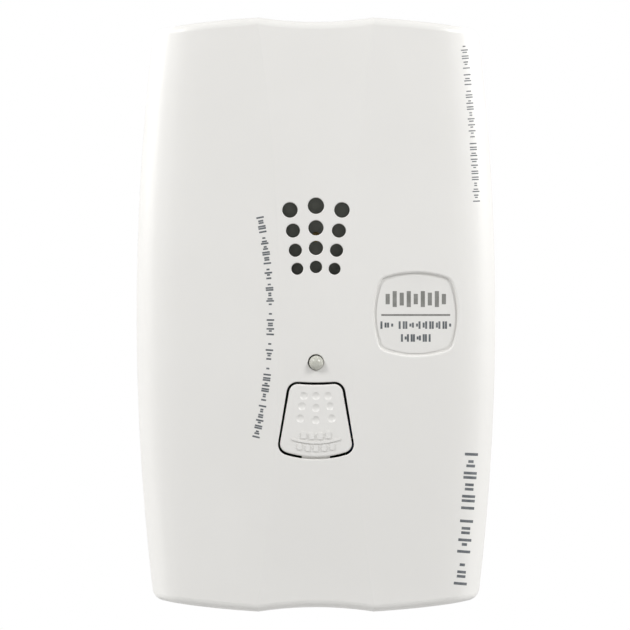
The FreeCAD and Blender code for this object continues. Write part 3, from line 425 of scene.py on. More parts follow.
# Plastic, rubber and ceramic: light and dark tone, roughness, then the grain's size and
# depth and the clouds' size in millimetres, then the dust and the tone of rubbed edges where there are any.
MOULDED = {
    "rating_film": ((0.68, 0.69, 0.7), (0.63, 0.64, 0.65), 0.3, 0.5, 0.002, 9.0),
    # sounder_plastic: a mid grey, much lighter than the sounder's own satin black; painted light that stands
    # in for the light seen on it through the grille holes
    "sounder_plastic": ((0.215, 0.224, 0.2), (0.18, 0.188, 0.166), 0.5, 0.25, 0.006, 6.0, 0.25),
    "disc_ceramic": ((0.66, 0.64, 0.58), (0.58, 0.56, 0.5), 0.6, 0.08, 0.003, 4.0),
    "switch_plastic": (
        (0.03, 0.03, 0.031), (0.022, 0.022, 0.023), 0.42, 0.15, 0.003, 4.0, 0.3, (0.08, 0.08, 0.08),
    ),
    "seal_polymer": ((0.72, 0.72, 0.69), (0.65, 0.65, 0.62), 0.45, 0.2, 0.004, 4.0),
    "electrode_carbon": ((0.02, 0.02, 0.02), (0.012, 0.012, 0.012), 0.8, 0.1, 0.01, 2.0),
    "relay_plastic": (
        (0.03, 0.115, 0.34), (0.022, 0.09, 0.28), 0.33, 0.25, 0.003, 8.0, 0.25, (0.1, 0.22, 0.45),
    ),
    "chip_epoxy": ((0.04, 0.04, 0.042), (0.03, 0.03, 0.032), 0.55, 0.1, 0.006, 3.0, 0.3),
    "capacitor_plastic": ((0.035, 0.033, 0.031), (0.026, 0.025, 0.024), 0.5, 0.2, 0.004, 3.0, 0.3),
    "chip_ceramic_dark": ((0.028, 0.03, 0.036), (0.02, 0.022, 0.027), 0.3, 0.08, 0.002, 1.5),
    "chip_ceramic_tan": ((0.42, 0.3, 0.18), (0.35, 0.245, 0.145), 0.38, 0.08, 0.002, 1.5),
    "ferrite": ((0.05, 0.047, 0.045), (0.033, 0.031, 0.03), 0.6, 0.12, 0.01, 2.0, 0.3),
    "header_plastic": ((0.72, 0.68, 0.56), (0.66, 0.62, 0.5), 0.42, 0.25, 0.004, 6.0, 0.15),
    "light_die": ((0.55, 0.5, 0.2), (0.45, 0.4, 0.15), 0.3, 0.05, 0.002, 0.4),
}
# Metal: light and dark tone, roughness, the lines' size in millimetres, then how much the
# lines are squeezed along each axis.
METALS = {
    "disc_brass": ((0.8, 0.6, 0.25), (0.66, 0.46, 0.17), 0.25, 0.05),
    "lead_tin": ((0.74, 0.73, 0.7), (0.55, 0.54, 0.52), 0.28, 0.06, (1.0, 0.1, 1.0)),
    "switch_steel": ((0.7, 0.7, 0.69), (0.52, 0.52, 0.51), 0.3, 0.05, (0.1, 1.0, 1.0)),
    "capacitor_aluminium": ((0.8, 0.8, 0.79), (0.68, 0.68, 0.67), 0.27, 0.05, (1.0, 0.1, 1.0)),
    "coil_copper": ((0.86, 0.42, 0.2), (0.66, 0.27, 0.12), 0.22, 0.05),
    "solder": ((0.74, 0.74, 0.73), (0.55, 0.55, 0.55), 0.2, 0.3),
    "gold_pad": ((0.85, 0.62, 0.26), (0.72, 0.5, 0.2), 0.25, 0.1),
}
MATERIALS = {}


def build_materials(scene):
    """One procedural material for each slot, with the print and the small parts' own."""
    cover, prints = scene.detector_cover, scene.detector_print
    metals, board, light = scene.detector_metal, scene.detector_board, scene.detector_light
    white, shade = tuple(cover.colour), tuple(cover.shade)
    zinc, plated = tuple(metals.zinc), tuple(metals.screw)
    m = MATERIALS
    for make, table in ((moulded, MOULDED), (metal, METALS)):
        for key, values in table.items():
            m[key] = make(key + "_finish", *values)
    m["cover_plastic"] = moulded(
        "case_white", white, shade, cover.gloss, cover.grain / MM, cover.grain_depth / MM, 45.0, dust=0.02
    )
    m["housing_plastic"] = moulded(
        "case_white_back", toned(white, 0.96), toned(shade, 0.96), 0.5, 0.3, 0.008, 30.0, dust=0.03
    )
    m["label_film"] = moulded(
        "label_film", toned(white, 0.99), toned(shade, 0.985), 0.36, 0.35, 0.002, 12.0
    )
    m["spacer_nylon"] = moulded(
        "spacer_nylon", (0.70, 0.68, 0.61), (0.62, 0.60, 0.53), 0.4, 0.3, 0.003, 5.0,
        Subsurface_Weight=0.2,
    )
    m["plate_steel"] = metal(
        "zinc_plate", zinc, toned(zinc, 0.82), 0.36, 0.12, (1.0, 1.0, 0.04), depth=0.003,
        spangle=metals.spangle / MM, worn=toned(zinc, 1.15),
    )
    m["screw_steel"] = metal(
        "plated_screw", plated, toned(plated, 0.7), 0.28, 0.08, (1.0, 0.2, 1.0), depth=0.002,
        worn=(0.75, 0.75, 0.74),
    )
    m["sensor_steel"] = metal(
        "sensor_steel", (0.66, 0.66, 0.65), (0.54, 0.54, 0.53), 0.24, 0.07, (1.0, 1.0, 0.08), depth=0.002,
        worn=(0.8, 0.8, 0.79),
    )
    m["gasket_foam"] = foam()
    m["lens_epoxy"] = milky_lens(tuple(light.colour))
    m["board_laminate"] = laminate(tuple(board.mask), tuple(board.track), tuple(board.laminate))
    for key, tone in (
        ("face_ink", tuple(prints.ink)), ("label_ink", tuple(prints.label_ink)),
        ("rating_ink", (0.05, 0.05, 0.055)), ("legend_ink", (0.72, 0.73, 0.70)),
    ):
        m[key] = ink(key, tone)


def foam():
    """Dark closed-cell foam."""
    material, tree, shader = bare_material("gasket_foam")
    cells = placed(tree, "cells", Cell_Size=0.35)
    tone = mixed(tree, cells["Tone"], (0.045, 0.045, 0.047), (0.075, 0.075, 0.078))
    roughness = ramp(tree, cells["Height"], 0.0, 0.6, 0.95, 0.8)
    connect(tree, shader, tone, roughness, cells["Height"], 0.08 * MM)
    return material


def milky_lens(tone):
    """Half-clear epoxy, clouded inside."""
    material, tree, shader = bare_material(
        "lens_milky", Transmission_Weight=0.25, IOR=1.53, Specular_IOR_Level=0.5
    )
    skin_of = placed(tree, "grain", Grain_Size=0.5, Cloud_Size=0.9)
    colour_from = mixed(tree, skin_of["Cloud"], toned(tone, 0.78), tone)
    roughness = ramp(tree, skin_of["Height"], 0.3, 0.7, 0.14, 0.24)
    connect(tree, shader, colour_from, roughness, skin_of["Height"], 0.004 * MM)
    return material


def laminate(mask_tone, track_tone, edge_tone):
    """A coated glass-fibre board: green faces with tracks, bare woven edges."""
    material, tree, shader = bare_material("board_green", Coat_Weight=0.35, Coat_Roughness=0.12)
    weave = placed(tree, "weave", Thread_Size=0.45)["Height"]
    tracks = placed(tree, "tracks", Patch_Size=9.0)["Mask"]
    faces = mixed(tree, tracks, mask_tone, track_tone)
    edges = mixed(tree, weave, toned(edge_tone, 0.75), edge_tone)
    normal = add_node(tree, "NewGeometry").outputs["Normal"]
    facing = math_node(tree, "ABSOLUTE", add_node(tree, "SeparateXYZ", {0: normal}).outputs["Y"])
    colour_from = mixed(tree, ramp(tree, facing, 0.5, 0.7), edges, faces)
    roughness = ramp(tree, facing, 0.5, 0.7, 0.75, 0.38)
    height = math_node(tree, "MULTIPLY_ADD", tracks, 2.0, scaled(tree, weave, 0.3))
    connect(tree, shader, colour_from, roughness, height, 0.015 * MM)
    return material


def dress(*names):
    """Gives CAD nodes the material of their own slot."""
    for name in names:
        for holder in NODES[name].material_slots:
            holder.material = MATERIALS[SLOTS[name]]


# ---- Mesh helpers ------------------------------------------------------------------------------
def finish_piece(name, mesh, material, body="detector", smooth=30.0):
    """Turns a mesh under construction into a named piece that rides on a body."""
    bmesh.ops.recalc_face_normals(mesh, faces=mesh.faces)
    data = bpy.data.meshes.new(name)
    mesh.to_mesh(data)
    mesh.free()
    for polygon in data.polygons:
        polygon.use_smooth = True
    data.set_sharp_from_angle(angle=math.radians(smooth))
    data.materials.append(MATERIALS[material])
    piece = bpy.data.objects.new(name, data)
    bpy.context.scene.collection.objects.link(piece)
    if body:
        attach(piece, body)
    return piece


def skin_of_node(name):
    """A CAD node's faces, to lay marks on."""
    mesh = NODES[name].data
    points = [v.co.copy() for v in mesh.vertices]
    return BVHTree.FromPolygons(points, [tuple(p.vertices) for p in mesh.polygons])


def laid_on(tree, x, z, toward=1.0):
    """Where a line square to the wall first meets a surface, from the front (1) or from the back (-1)."""
    hit = tree.ray_cast(Vector((x, -0.08 * toward, z)), Vector((0.0, toward, 0.0)))[0]
    if hit is None:
        raise RuntimeError("a mark lies off the surface it is printed on")
    return hit


def add_pad(mesh, place, u0, u1, v0, v1, thickness, step=0.6 * MM):
    """A thin closed pad that follows a surface; place(u, v, lift) gives its points."""
    across = max(1, math.ceil((u1 - u0) / step))
    up = max(1, math.ceil((v1 - v0) / step))
    layers = []
    for lift in (thickness, -INK_BURIED):
        layers.append([
            [mesh.verts.new(place(u0 + (u1 - u0) * i / across, v0 + (v1 - v0) * j / up, lift))
             for j in range(up + 1)]
            for i in range(across + 1)
        ])
    for grid in layers:
        for i in range(across):
            for j in range(up):
                mesh.faces.new((grid[i][j], grid[i + 1][j], grid[i + 1][j + 1], grid[i][j + 1]))
    top, under = layers
    rim = [(i, 0) for i in range(across)] + [(across, j) for j in range(up)]
    rim += [(i, up) for i in range(across, 0, -1)] + [(0, j) for j in range(up, 0, -1)]
    for k, (i, j) in enumerate(rim):
        m, n = rim[(k + 1) % len(rim)]
        mesh.faces.new((top[i][j], top[m][n], under[m][n], under[i][j]))


def add_turned(mesh, profile, centre=(0.0, 0.0), segments=40, along="Y", base=0.0):
    """A solid turned from (radius, depth) pairs; depth runs away from the wall, or up when along is Z."""
    rings = []
    for radius, depth in profile:
        ring = []
        for k in range(1 if radius == 0 else segments):
            angle = 2 * math.pi * k / segments
            a, b = radius * math.cos(angle), radius * math.sin(angle)
            if along == "Y":
                ring.append(mesh.verts.new((centre[0] + a, -(base + depth), centre[1] + b)))
            else:
                ring.append(mesh.verts.new((centre[0] + a, centre[1] + b, base + depth)))
        rings.append(ring)
    closed = profile[0][0] != 0
    pairs = zip(rings, rings[1:] + (rings[:1] if closed else []))
    for low, high in pairs:
        for k in range(segments):
            n = (k + 1) % segments
            if len(low) == 1 and len(high) == 1:
                continue
            if len(low) == 1:
                mesh.faces.new((low[0], high[k], high[n]))
            elif len(high) == 1:
                mesh.faces.new((low[k], low[n], high[0]))
            else:
                mesh.faces.new((low[k], low[n], high[n], high[k]))


def join_rings(mesh, first, second):
    """Walls between two closed rings of equally many points."""
    for k in range(len(first)):
        n = (k + 1) % len(first)
        mesh.faces.new((first[k], first[n], second[n], second[k]))


def add_block(mesh, low, high, bevel=0.0):
    """A block between two corners, with its edges eased."""
    made = bmesh.ops.create_cube(mesh, size=1.0)["verts"]
    low, high = Vector(low), Vector(high)
    size = high - low
    for vertex in made:
        vertex.co = (low + high) / 2 + vertex.co * size
    if bevel:
        edges = list({e for v in made for e in v.link_edges})
        bmesh.ops.bevel(mesh, geom=edges, offset=bevel, segments=2, affect="EDGES", profile=0.6)


def islands(name):
    """The separate solids of a CAD node, each as a list of points."""
    mesh = bmesh.new()
    mesh.from_mesh(NODES[name].data)
    bmesh.ops.remove_doubles(mesh, verts=mesh.verts, dist=1e-6)
    mesh.verts.ensure_lookup_table()
    seen, found = set(), []
    for start in mesh.verts:
        if start.index in seen:
            continue
        seen.add(start.index)
        queue, points = [start], []
        while queue:
            vertex = queue.pop()
            points.append(vertex.co.copy())
            for edge in vertex.link_edges:
                other = edge.other_vert(vertex)
                if other.index not in seen:
                    seen.add(other.index)
                    queue.append(other)
        found.append(points)
    mesh.free()
    return found


def corners(points):
    """The low and high corner of the box round some points."""
    low = Vector([min(p[i] for p in points) for i in range(3)])
    high = Vector([max(p[i] for p in points) for i in range(3)])
    return low, high


def middle_of(low, high):
    """The middle of a box as (x, z), seen from the front."""
    return (low.x + high.x) / 2, (low.z + high.z) / 2


# ---- Printed marks -----------------------------------------------------------------------------
# A mark is one or two posts across the line: whole, middling or short.
POSTS = {"whole": (0.0, 1.0), "middling": (0.17, 0.83), "short": (0.3, 0.7)}
MARKS = (
    ("whole", "whole"), ("whole", "middling"), ("middling", "whole"), ("middling", "short"),
    ("whole", "short"), ("short", "whole"),
)
LONE_MARK = ("short",)
WORD_SPACE = 0.75  # between groups of marks, as a share of one mark's pitch
MARK_WIDTH = 0.62  # between a mark's two posts, as a share of its pitch
MARK_STEP = 0.2 * MM  # longest facet of a mark, so that it follows a bent face


def strokes_of(words, total, height, weight, seed):
    """The posts of a row of plain marks, grouped like words, as (u0, u1, v0, v1) about the row's middle."""
    draw = random.Random(seed)
    pitch = total / (sum(words) + WORD_SPACE * (len(words) - 1))
    cursor = -total / 2
    strokes, last = [], None
    for count in words:
        for _ in range(count):
            mark = draw.choice([m for m in MARKS if m is not last]) if count > 1 else LONE_MARK
            last = mark
            for k, kind in enumerate(mark):
                u = cursor + (0.5 - MARK_WIDTH / 2 + MARK_WIDTH * k) * pitch
                start, end = POSTS[kind]
                strokes.append((u - weight / 2, u + weight / 2, (start - 0.5) * height, (end - 0.5) * height))
            cursor += pitch
        cursor += WORD_SPACE * pitch
    return strokes


def upright_line(tree, x_at, centre_z):
    """Placing for a row that climbs the face along x_at(z), read from the bottom up."""
    def place(u, v, lift):
        z = centre_z + u
        slope = (x_at(z + MM) - x_at(z - MM)) / (2 * MM)
        turn = math.hypot(1.0, slope)
        x, z = x_at(z) - v / turn, z + v * slope / turn
        hit = laid_on(tree, x, z)
        return Vector((x, hit.y - lift, z))
    return place


def level_line(tree, centre_x, centre_z, toward=1.0):
    """Placing for a level row on a face that looks to the front (1) or to the back (-1)."""
    def place(u, v, lift):
        x, z = centre_x + toward * u, centre_z + v
        return Vector((x, laid_on(tree, x, z, toward).y - toward * lift, z))
    return place


def side_x(z, inset):
    """How far out a line is that keeps an even distance from the case's bowed side."""
    return COVER_SIDE - SIDE_BOW_RADIUS + math.sqrt(SIDE_BOW_RADIUS ** 2 - z * z) - inset


def add_row(mesh, place, words, total, height, weight, thickness, seed):
    """Lays a row of marks of the given length, height and weight."""
    for u0, u1, v0, v1 in strokes_of(words, total, height, weight, seed):
        add_pad(mesh, place, u0, u1, v0, v1, thickness, MARK_STEP)


# ---- Operators ---------------------------------------------------------------------------------
class Maker:
    """What every operator shares: it finishes its CAD nodes, then makes its own pieces."""
    nodes = ()

    def make(self, scene):
        """Makes the operator's own pieces, where it has any."""

    def execute(self, context):
        dress(*self.nodes)
        self.make(context.scene)
        return {"FINISHED"}


class DETECTOR_OT_finishes(Maker, Operator):
    """Builds the shared shader groups and every material"""
    bl_idname = "detector.finishes"
    bl_label = "Finishes"

    def make(self, scene):
        build_groups()
        build_materials(scene)


class DETECTOR_OT_cover(Maker, Operator):
    """Gives the front cover its moulded white finish"""
    bl_idname = "detector.cover"
    bl_label = "Front Cover"
    nodes = ("front_cover",)


SIDE_LINE_X = -9.7 * MM  # where the line beside the grille reaches furthest right
SIDE_LINE_MIDDLE = -0.8 * MM  # height of that place
SIDE_LINE_RADIUS = 104 * MM  # bow of that line
RIGHT_INSETS = (3.6 * MM, 4.4 * MM)  # of the upper and the lower line, from the case's right side


def side_line_x(z):
    return SIDE_LINE_X - (z - SIDE_LINE_MIDDLE) ** 2 / (2 * SIDE_LINE_RADIUS)


class DETECTOR_OT_face_print(Maker, Operator):
    """Prints the three rows of plain marks on the face"""
    bl_idname = "detector.face_print"
    bl_label = "Face Print"

    def make(self, scene):
        settings = scene.detector_print
        face = skin_of_node("front_cover")
        upper_inset, lower_inset = RIGHT_INSETS
        # name, x along the line, middle height, marks in each group, length, height and weight, seed
        rows = (
            ("side_line", side_line_x, -2.7 * MM, (6, 5, 1, 2, 1, 3, 1, 4, 2, 5, 3), 47.2 * MM,
             settings.small_height, 0.35 * MM, 3),
            ("upper_line", lambda z: side_x(z, upper_inset), 40.8 * MM, (10, 8, 2, 4), 33.6 * MM,
             settings.upper_height, 0.24 * MM, 5),
            ("lower_line", lambda z: side_x(z, lower_inset), -43.7 * MM, (2, 3, 5), 28.6 * MM,
             settings.large_height, 0.58 * MM, 8),
        )
        for name, x_at, centre_z, words, total, height, weight, seed in rows:
            mesh = bmesh.new()
            place = upright_line(face, x_at, centre_z)
            add_row(mesh, place, words, total, height, weight, settings.thickness, seed)
            finish_piece(name, mesh, "face_ink")


BAR_HEIGHTS = (0.65, 1.0, 0.8, 1.0, 0.65, 1.0, 0.8, 1.0, 0.65)  # as shares of the tallest bar
BAR_PITCH = 1.5 * MM
BAR_HALF_WIDTH = 0.44 * MM
BAR_HALF_HEIGHT = 1.7 * MM
BARS_ABOVE = 3.2 * MM  # from the label's middle to the bars' middle
RULE_BELOW = 0.2 * MM  # from the label's middle down to the rule
RULE_HALF = (7.35 * MM, 0.19 * MM)
LABEL_ROWS = ((-2.35 * MM, (2, 8), 15.2 * MM, 4), (-5.1 * MM, (5,), 6.4 * MM, 6))  # the last is the seed
LABEL_MARK = (1.6 * MM, 0.42 * MM)  # height and weight


class DETECTOR_OT_name_label(Maker, Operator):
    """Prints the label in the face's recess with plain bars, a rule and two rows of marks"""
    bl_idname = "detector.name_label"
    bl_label = "Name Label"
    nodes = ("name_label",)

    def make(self, scene):
        thickness = scene.detector_print.thickness
        film = skin_of_node("name_label")
        x, z = middle_of(LABEL_LOW, LABEL_HIGH)
        mesh = bmesh.new()
        place = level_line(film, x, z + BARS_ABOVE)
        for i, share_of_height in enumerate(BAR_HEIGHTS):
            u, half = (i - len(BAR_HEIGHTS) // 2) * BAR_PITCH, BAR_HALF_HEIGHT * share_of_height
            add_pad(mesh, place, u - BAR_HALF_WIDTH, u + BAR_HALF_WIDTH, -half, half, thickness)
        wide, tall = RULE_HALF
        add_pad(mesh, level_line(film, x, z - RULE_BELOW), -wide, wide, -tall, tall, thickness)
        finish_piece("name_print", mesh, "label_ink")
        mesh = bmesh.new()
        for drop, words, total, seed in LABEL_ROWS:
            add_row(mesh, level_line(film, x, z + drop), words, total, *LABEL_MARK, thickness, seed)
        finish_piece("name_rows", mesh, "face_ink")


WEB_STEPS = 12
WEB_ACROSS = 16
WEB_WAIST = 0.42  # how much thinner the strip is half way up, as a share


class DETECTOR_OT_button(Maker, Operator):
    """Finishes the test button and makes the thin strip that it swings on"""
    bl_idname = "detector.button"
    bl_label = "Test Button"
    nodes = ("test_reset_button", "button_hinge_web")

    def make(self, scene):
        low, high = WEB_LOW, WEB_HIGH
        middle_y = (low.y + high.y) / 2
        half = (high.y - low.y) / 2
        columns = [low.x + (high.x - low.x) * i / WEB_ACROSS for i in range(WEB_ACROSS + 1)]
        mesh = bmesh.new()
        rings = []
        for j in range(WEB_STEPS + 1):
            share_up = j / WEB_STEPS
            z = low.z + (high.z - low.z) * share_up
            thin = half * (1.0 - WEB_WAIST * math.sin(math.pi * share_up) ** 2)
            front = [mesh.verts.new((x, middle_y - thin, z)) for x in columns]
            back = [mesh.verts.new((x, middle_y + thin, z)) for x in reversed(columns)]
            rings.append(front + back)
        for a, b in zip(rings, rings[1:]):
            join_rings(mesh, a, b)
        mesh.faces.new(rings[0])
        mesh.faces.new(rings[-1])
        web = finish_piece("hinge_strip", mesh, "cover_plastic", body=None)
        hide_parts("button_hinge_web")
        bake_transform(web)


FLANGE_DEPTH = 1.0 * MM
FLANGE_EASE = 0.1 * MM
DOME_STEPS = 16
CUP = ((0.25, 28.2), (0.95, 28.2), (0.95, 30.2), (0.80, 30.2), (0.35, 29.6), (0.25, 29.6))
# Blocks round the lens's middle, in millimetres: x, depth from the wall and z, at the low and high corner.
CUP_LEAD = ((-0.9, 28.2, -0.2), (0.3, 27.5, 0.2))
DIES = (((-0.22, 29.75, -0.12), (-0.02, 29.0, 0.12)), ((0.02, 29.75, -0.12), (0.22, 29.0, 0.12)))


class DETECTOR_OT_status_light(Maker, Operator):
    """Makes the milky status light with its cup and dies, and finishes its leads and spacer"""
    bl_idname = "detector.status_light"
    bl_label = "Status Light"
    nodes = ("led_lens", "led_leads", "led_spacer")

    def make(self, scene):
        radius, lean = scene.detector_light.radius, scene.detector_light.lean
        x, z = middle_of(LENS_LOW, LENS_HIGH)
        centre = (x + lean, z - lean)
        flange = (LENS_HIGH.x - LENS_LOW.x) / 2 - lean
        base, tip = -LENS_HIGH.y, -LENS_LOW.y
        profile = [
            (0.0, base), (flange - FLANGE_EASE, base), (flange, base + FLANGE_EASE),
            (flange, base + FLANGE_DEPTH - FLANGE_EASE), (flange - FLANGE_EASE, base + FLANGE_DEPTH),
            (radius, base + FLANGE_DEPTH),
        ]
        for k in range(DOME_STEPS + 1):
            angle = math.pi / 2 * k / DOME_STEPS
            out = radius * math.cos(angle) if k < DOME_STEPS else 0.0
            profile.append((out, tip - radius + radius * math.sin(angle)))
        mesh = bmesh.new()
        add_turned(mesh, profile, centre, 48)
        lens = finish_piece("status_lens", mesh, "lens_epoxy")
        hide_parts("led_lens")

        def block(corner_pair, bevel):
            places = [(centre[0] + a * MM, -b * MM, centre[1] + c * MM) for a, b, c in corner_pair]
            add_block(mesh, *places, bevel)

        mesh = bmesh.new()
        add_turned(mesh, [(r * MM, t * MM) for r, t in CUP], centre, 32)
        block(CUP_LEAD, 0.05 * MM)
        finish_piece("light_cup", mesh, "lead_tin")
        mesh = bmesh.new()
        for die in DIES:
            block(die, 0.02 * MM)
        finish_piece("light_dies", mesh, "light_die")


RATING_MARGIN = 1.2 * MM
RATING_RULE_HALF = 0.12 * MM
RATING_STEP = 4 * MM  # the label is flat, so its rules need few facets
RATING_ROWS = ((0.67, (5, 3, 6), 11), (0.0, (3, 7, 2, 4), 12), (-0.67, (6, 4, 5), 13))
EJECTOR_PLACES = ((-31.0, 20.0), (31.0, 20.0), (-31.0, -20.0), (31.0, -20.0))
EJECTOR_RING = ((1.9, -0.03), (1.9, 0.05), (1.75, 0.08), (1.6, 0.05), (1.6, -0.03))


class DETECTOR_OT_rear_housing(Maker, Operator):
    """Finishes the moulded back and prints its rating label with a plain table"""
    bl_idname = "detector.rear_housing"
    bl_label = "Rear Housing"
    nodes = ("rear_housing", "rating_label")

    def make(self, scene):
        thickness = scene.detector_print.thickness
        film = skin_of_node("rating_label")
        x, z = middle_of(RATING_LOW, RATING_HIGH)
        half_w = (RATING_HIGH.x - RATING_LOW.x) / 2 - RATING_MARGIN
        half_h = (RATING_HIGH.z - RATING_LOW.z) / 2 - RATING_MARGIN
        line = RATING_RULE_HALF
        mesh = bmesh.new()
        place = level_line(film, x, z, -1.0)
        for v in (-half_h, -half_h / 3, half_h / 3, half_h):
            add_pad(mesh, place, -half_w, half_w, v - line, v + line, thickness, RATING_STEP)
        for v, words, seed in RATING_ROWS:
            row = level_line(film, x, z + v * half_h, -1.0)
            add_row(mesh, row, words, 2 * half_w - 2 * MM, 1.6 * MM, 0.22 * MM, thickness, seed)
        finish_piece("rating_print", mesh, "rating_ink")
        back = skin_of_node("rear_housing")
        mesh = bmesh.new()
        ring = [(r * MM, -h * MM) for r, h in EJECTOR_RING]
        for ring_x, ring_z in EJECTOR_PLACES:
            hit = laid_on(back, ring_x * MM, ring_z * MM, -1.0)
            add_turned(mesh, ring, (hit.x, hit.z), 36, base=-hit.y)
        finish_piece("ejector_rings", mesh, "housing_plastic")


class DETECTOR_OT_hardware(Maker, Operator):
    """Finishes the mounting plate and every screw"""
    bl_idname = "detector.hardware"
    bl_label = "Plate and Screws"
    nodes = ("mounting_plate", "locking_screw", "case_screws", "board_screws")


OUTLINED = (
    "alarm_relay", "trouble_relay", "co_sensor_can", "mcu_body", "regulator_body", "crystal_can",
    "switch_base",
)
OUTLINE_GAP = 0.7 * MM  # between a part and the outline printed round it
SOUNDER_GAP = 0.9 * MM
SOLDERED = ("led_leads", "sounder_pins", "switch_legs", "header_pins", "relay_pins", "co_sensor_straps")
SOLDER_HEIGHT = 0.79 * MM
TEST_PADS = ((-9, -20), (-9, -23.5), (-5, -47), (-1, -47), (3, -47), (26, 30), (26, 26.5), (-26, 24))
TEST_PAD_RADIUS = 0.8 * MM


class DETECTOR_OT_board(Maker, Operator):
    """Finishes the circuit board, with its printed outlines, solder joints and test pads"""
    bl_idname = "detector.board"
    bl_label = "Circuit Board"
    nodes = ("main_board",)

    def make(self, scene):
        settings = scene.detector_board
        front, back = -BOARD_LOW.y, -BOARD_HIGH.y
        line = settings.legend_width
        mesh = bmesh.new()
        for name in OUTLINED:
            low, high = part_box(name)
            x0, x1 = low.x - OUTLINE_GAP, high.x + OUTLINE_GAP
            z0, z1 = low.z - OUTLINE_GAP, high.z + OUTLINE_GAP
            for a, b, c, d in (
                (x0, x1, z0, z0 + line), (x0, x1, z1 - line, z1),
                (x0, x0 + line, z0 + line, z1 - line), (x1 - line, x1, z0 + line, z1 - line),
            ):
                add_block(mesh, (a, -front - BOARD_INK, c), (b, -front + INK_BURIED, d))
        low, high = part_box("sounder_base")
        out = (high.x - low.x) / 2 + SOUNDER_GAP
        circle = [(out, -INK_BURIED), (out, BOARD_INK), (out - line, BOARD_INK), (out - line, -INK_BURIED)]
        add_turned(mesh, circle, middle_of(low, high), 72, base=front)
        finish_piece("board_legend", mesh, "legend_ink")

        mesh = bmesh.new()
        for name in SOLDERED:
            for points in islands(name):
                tail = [p for p in points if -p.y < back - 0.05 * MM]
                if tail:
                    self.add_joint(mesh, tail, settings.solder_reach, back)
        finish_piece("solder_joints", mesh, "solder")

        mesh = bmesh.new()
        reach = TEST_PAD_RADIUS
        disc = [(0.0, -INK_BURIED), (reach, -INK_BURIED), (reach, BOARD_INK), (0.0, BOARD_INK)]
        for x, z in TEST_PADS:
            add_turned(mesh, disc, (x * MM, z * MM), 28, base=front)
        finish_piece("test_pads", mesh, "gold_pad")

    @staticmethod
    def add_joint(mesh, tail, reach, back):
        """A cone of solder round the end of one lead."""
        low, high = corners(tail)
        half = max(high.x - low.x, high.z - low.z) / 2
        foot = min(half + 0.65 * MM, max(reach, half + 0.35 * MM))
        cone = [(0.0, 0.0), (foot, 0.0), (foot, 0.04 * MM)]
        for s in (0.15, 0.3, 0.5, 0.75, 1.0):
            cone.append((half + (foot - half) * (1 - s) ** 2.2 + 0.03 * MM, (0.04 + 0.75 * s) * MM))
        cone.append((0.0, SOLDER_HEIGHT))
        add_turned(mesh, [(r, -h) for r, h in cone], middle_of(low, high), 24, base=back)


class DETECTOR_OT_sounder(Maker, Operator):
    """Finishes the round sounder, its disc and its foam gasket"""
    bl_idname = "detector.sounder"
    bl_label = "Sounder"
    nodes = (
        "sounder_base", "sounder_case", "sounder_disc", "sounder_ceramic", "sounder_pins", "sounder_gasket",
    )


PAPER = 0.06 * MM  # thickness of the sensor's label
PAPER_HALF = (11 * MM, 4.6 * MM)
PAPER_DROP = 1.5 * MM  # from the can's middle down to the label's middle
PAPER_ROWS = ((2.4, (4, 5), 21), (-0.2, (6, 3), 22), (-2.8, (3, 4, 2), 23))


class DETECTOR_OT_gas_sensor(Maker, Operator):
    """Finishes the gas sensor's can and wraps it in its paper label"""
    bl_idname = "detector.gas_sensor"
    bl_label = "Gas Sensor"
    nodes = (
        "co_sensor_can", "co_sensor_cap", "co_sensor_seal", "co_sensor_electrode", "co_sensor_straps",
        "sensor_saddles",
    )

    def make(self, scene):
        low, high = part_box("co_sensor_can")
        centre_x, centre_y = (low.x + high.x) / 2, (low.y + high.y) / 2
        radius = (high.x - low.x) / 2
        middle_z = (low.z + high.z) / 2 - PAPER_DROP

        def wrap(grow, rise=0.0):
            """Placing round the can, on a layer of the given thickness."""
            def place(u, v, lift):
                angle, out = u / radius, radius + grow + lift
                x, y = centre_x + out * math.sin(angle), centre_y - out * math.cos(angle)
                return Vector((x, y, middle_z + v + rise))
            return place

        wide, tall = PAPER_HALF
        mesh = bmesh.new()
        add_pad(mesh, wrap(0.0), -wide, wide, -tall, tall, PAPER, 0.7 * MM)
        finish_piece("sensor_label", mesh, "rating_film")
        mesh = bmesh.new()
        for v, words, seed in PAPER_ROWS:
            add_row(mesh, wrap(PAPER, v * MM), words, 15 * MM, 1.5 * MM, 0.22 * MM, PART_INK, seed)
        finish_piece("sensor_print", mesh, "rating_ink")


class DETECTOR_OT_switch(Maker, Operator):
    """Finishes the push switch under the button"""
    bl_idname = "detector.switch"
    bl_label = "Push Switch"
    nodes = ("switch_base", "switch_frame", "switch_plunger", "switch_legs")


PRINTED = (("alarm_relay", 3), ("trouble_relay", 3), ("mcu_body", 2), ("crystal_can", 1))  # with its rows
CAP_SHARE = 0.22  # of a chip's length, at each end
STRIPE_START, STRIPE_SPAN, STRIPE_STEPS = 125, 110, 16  # dark edge on a capacitor's top, in degrees
COIL_CORE = 1.2 * MM
COIL_TURNS = 10
COIL_STEPS = 6  # of each turn's round profile


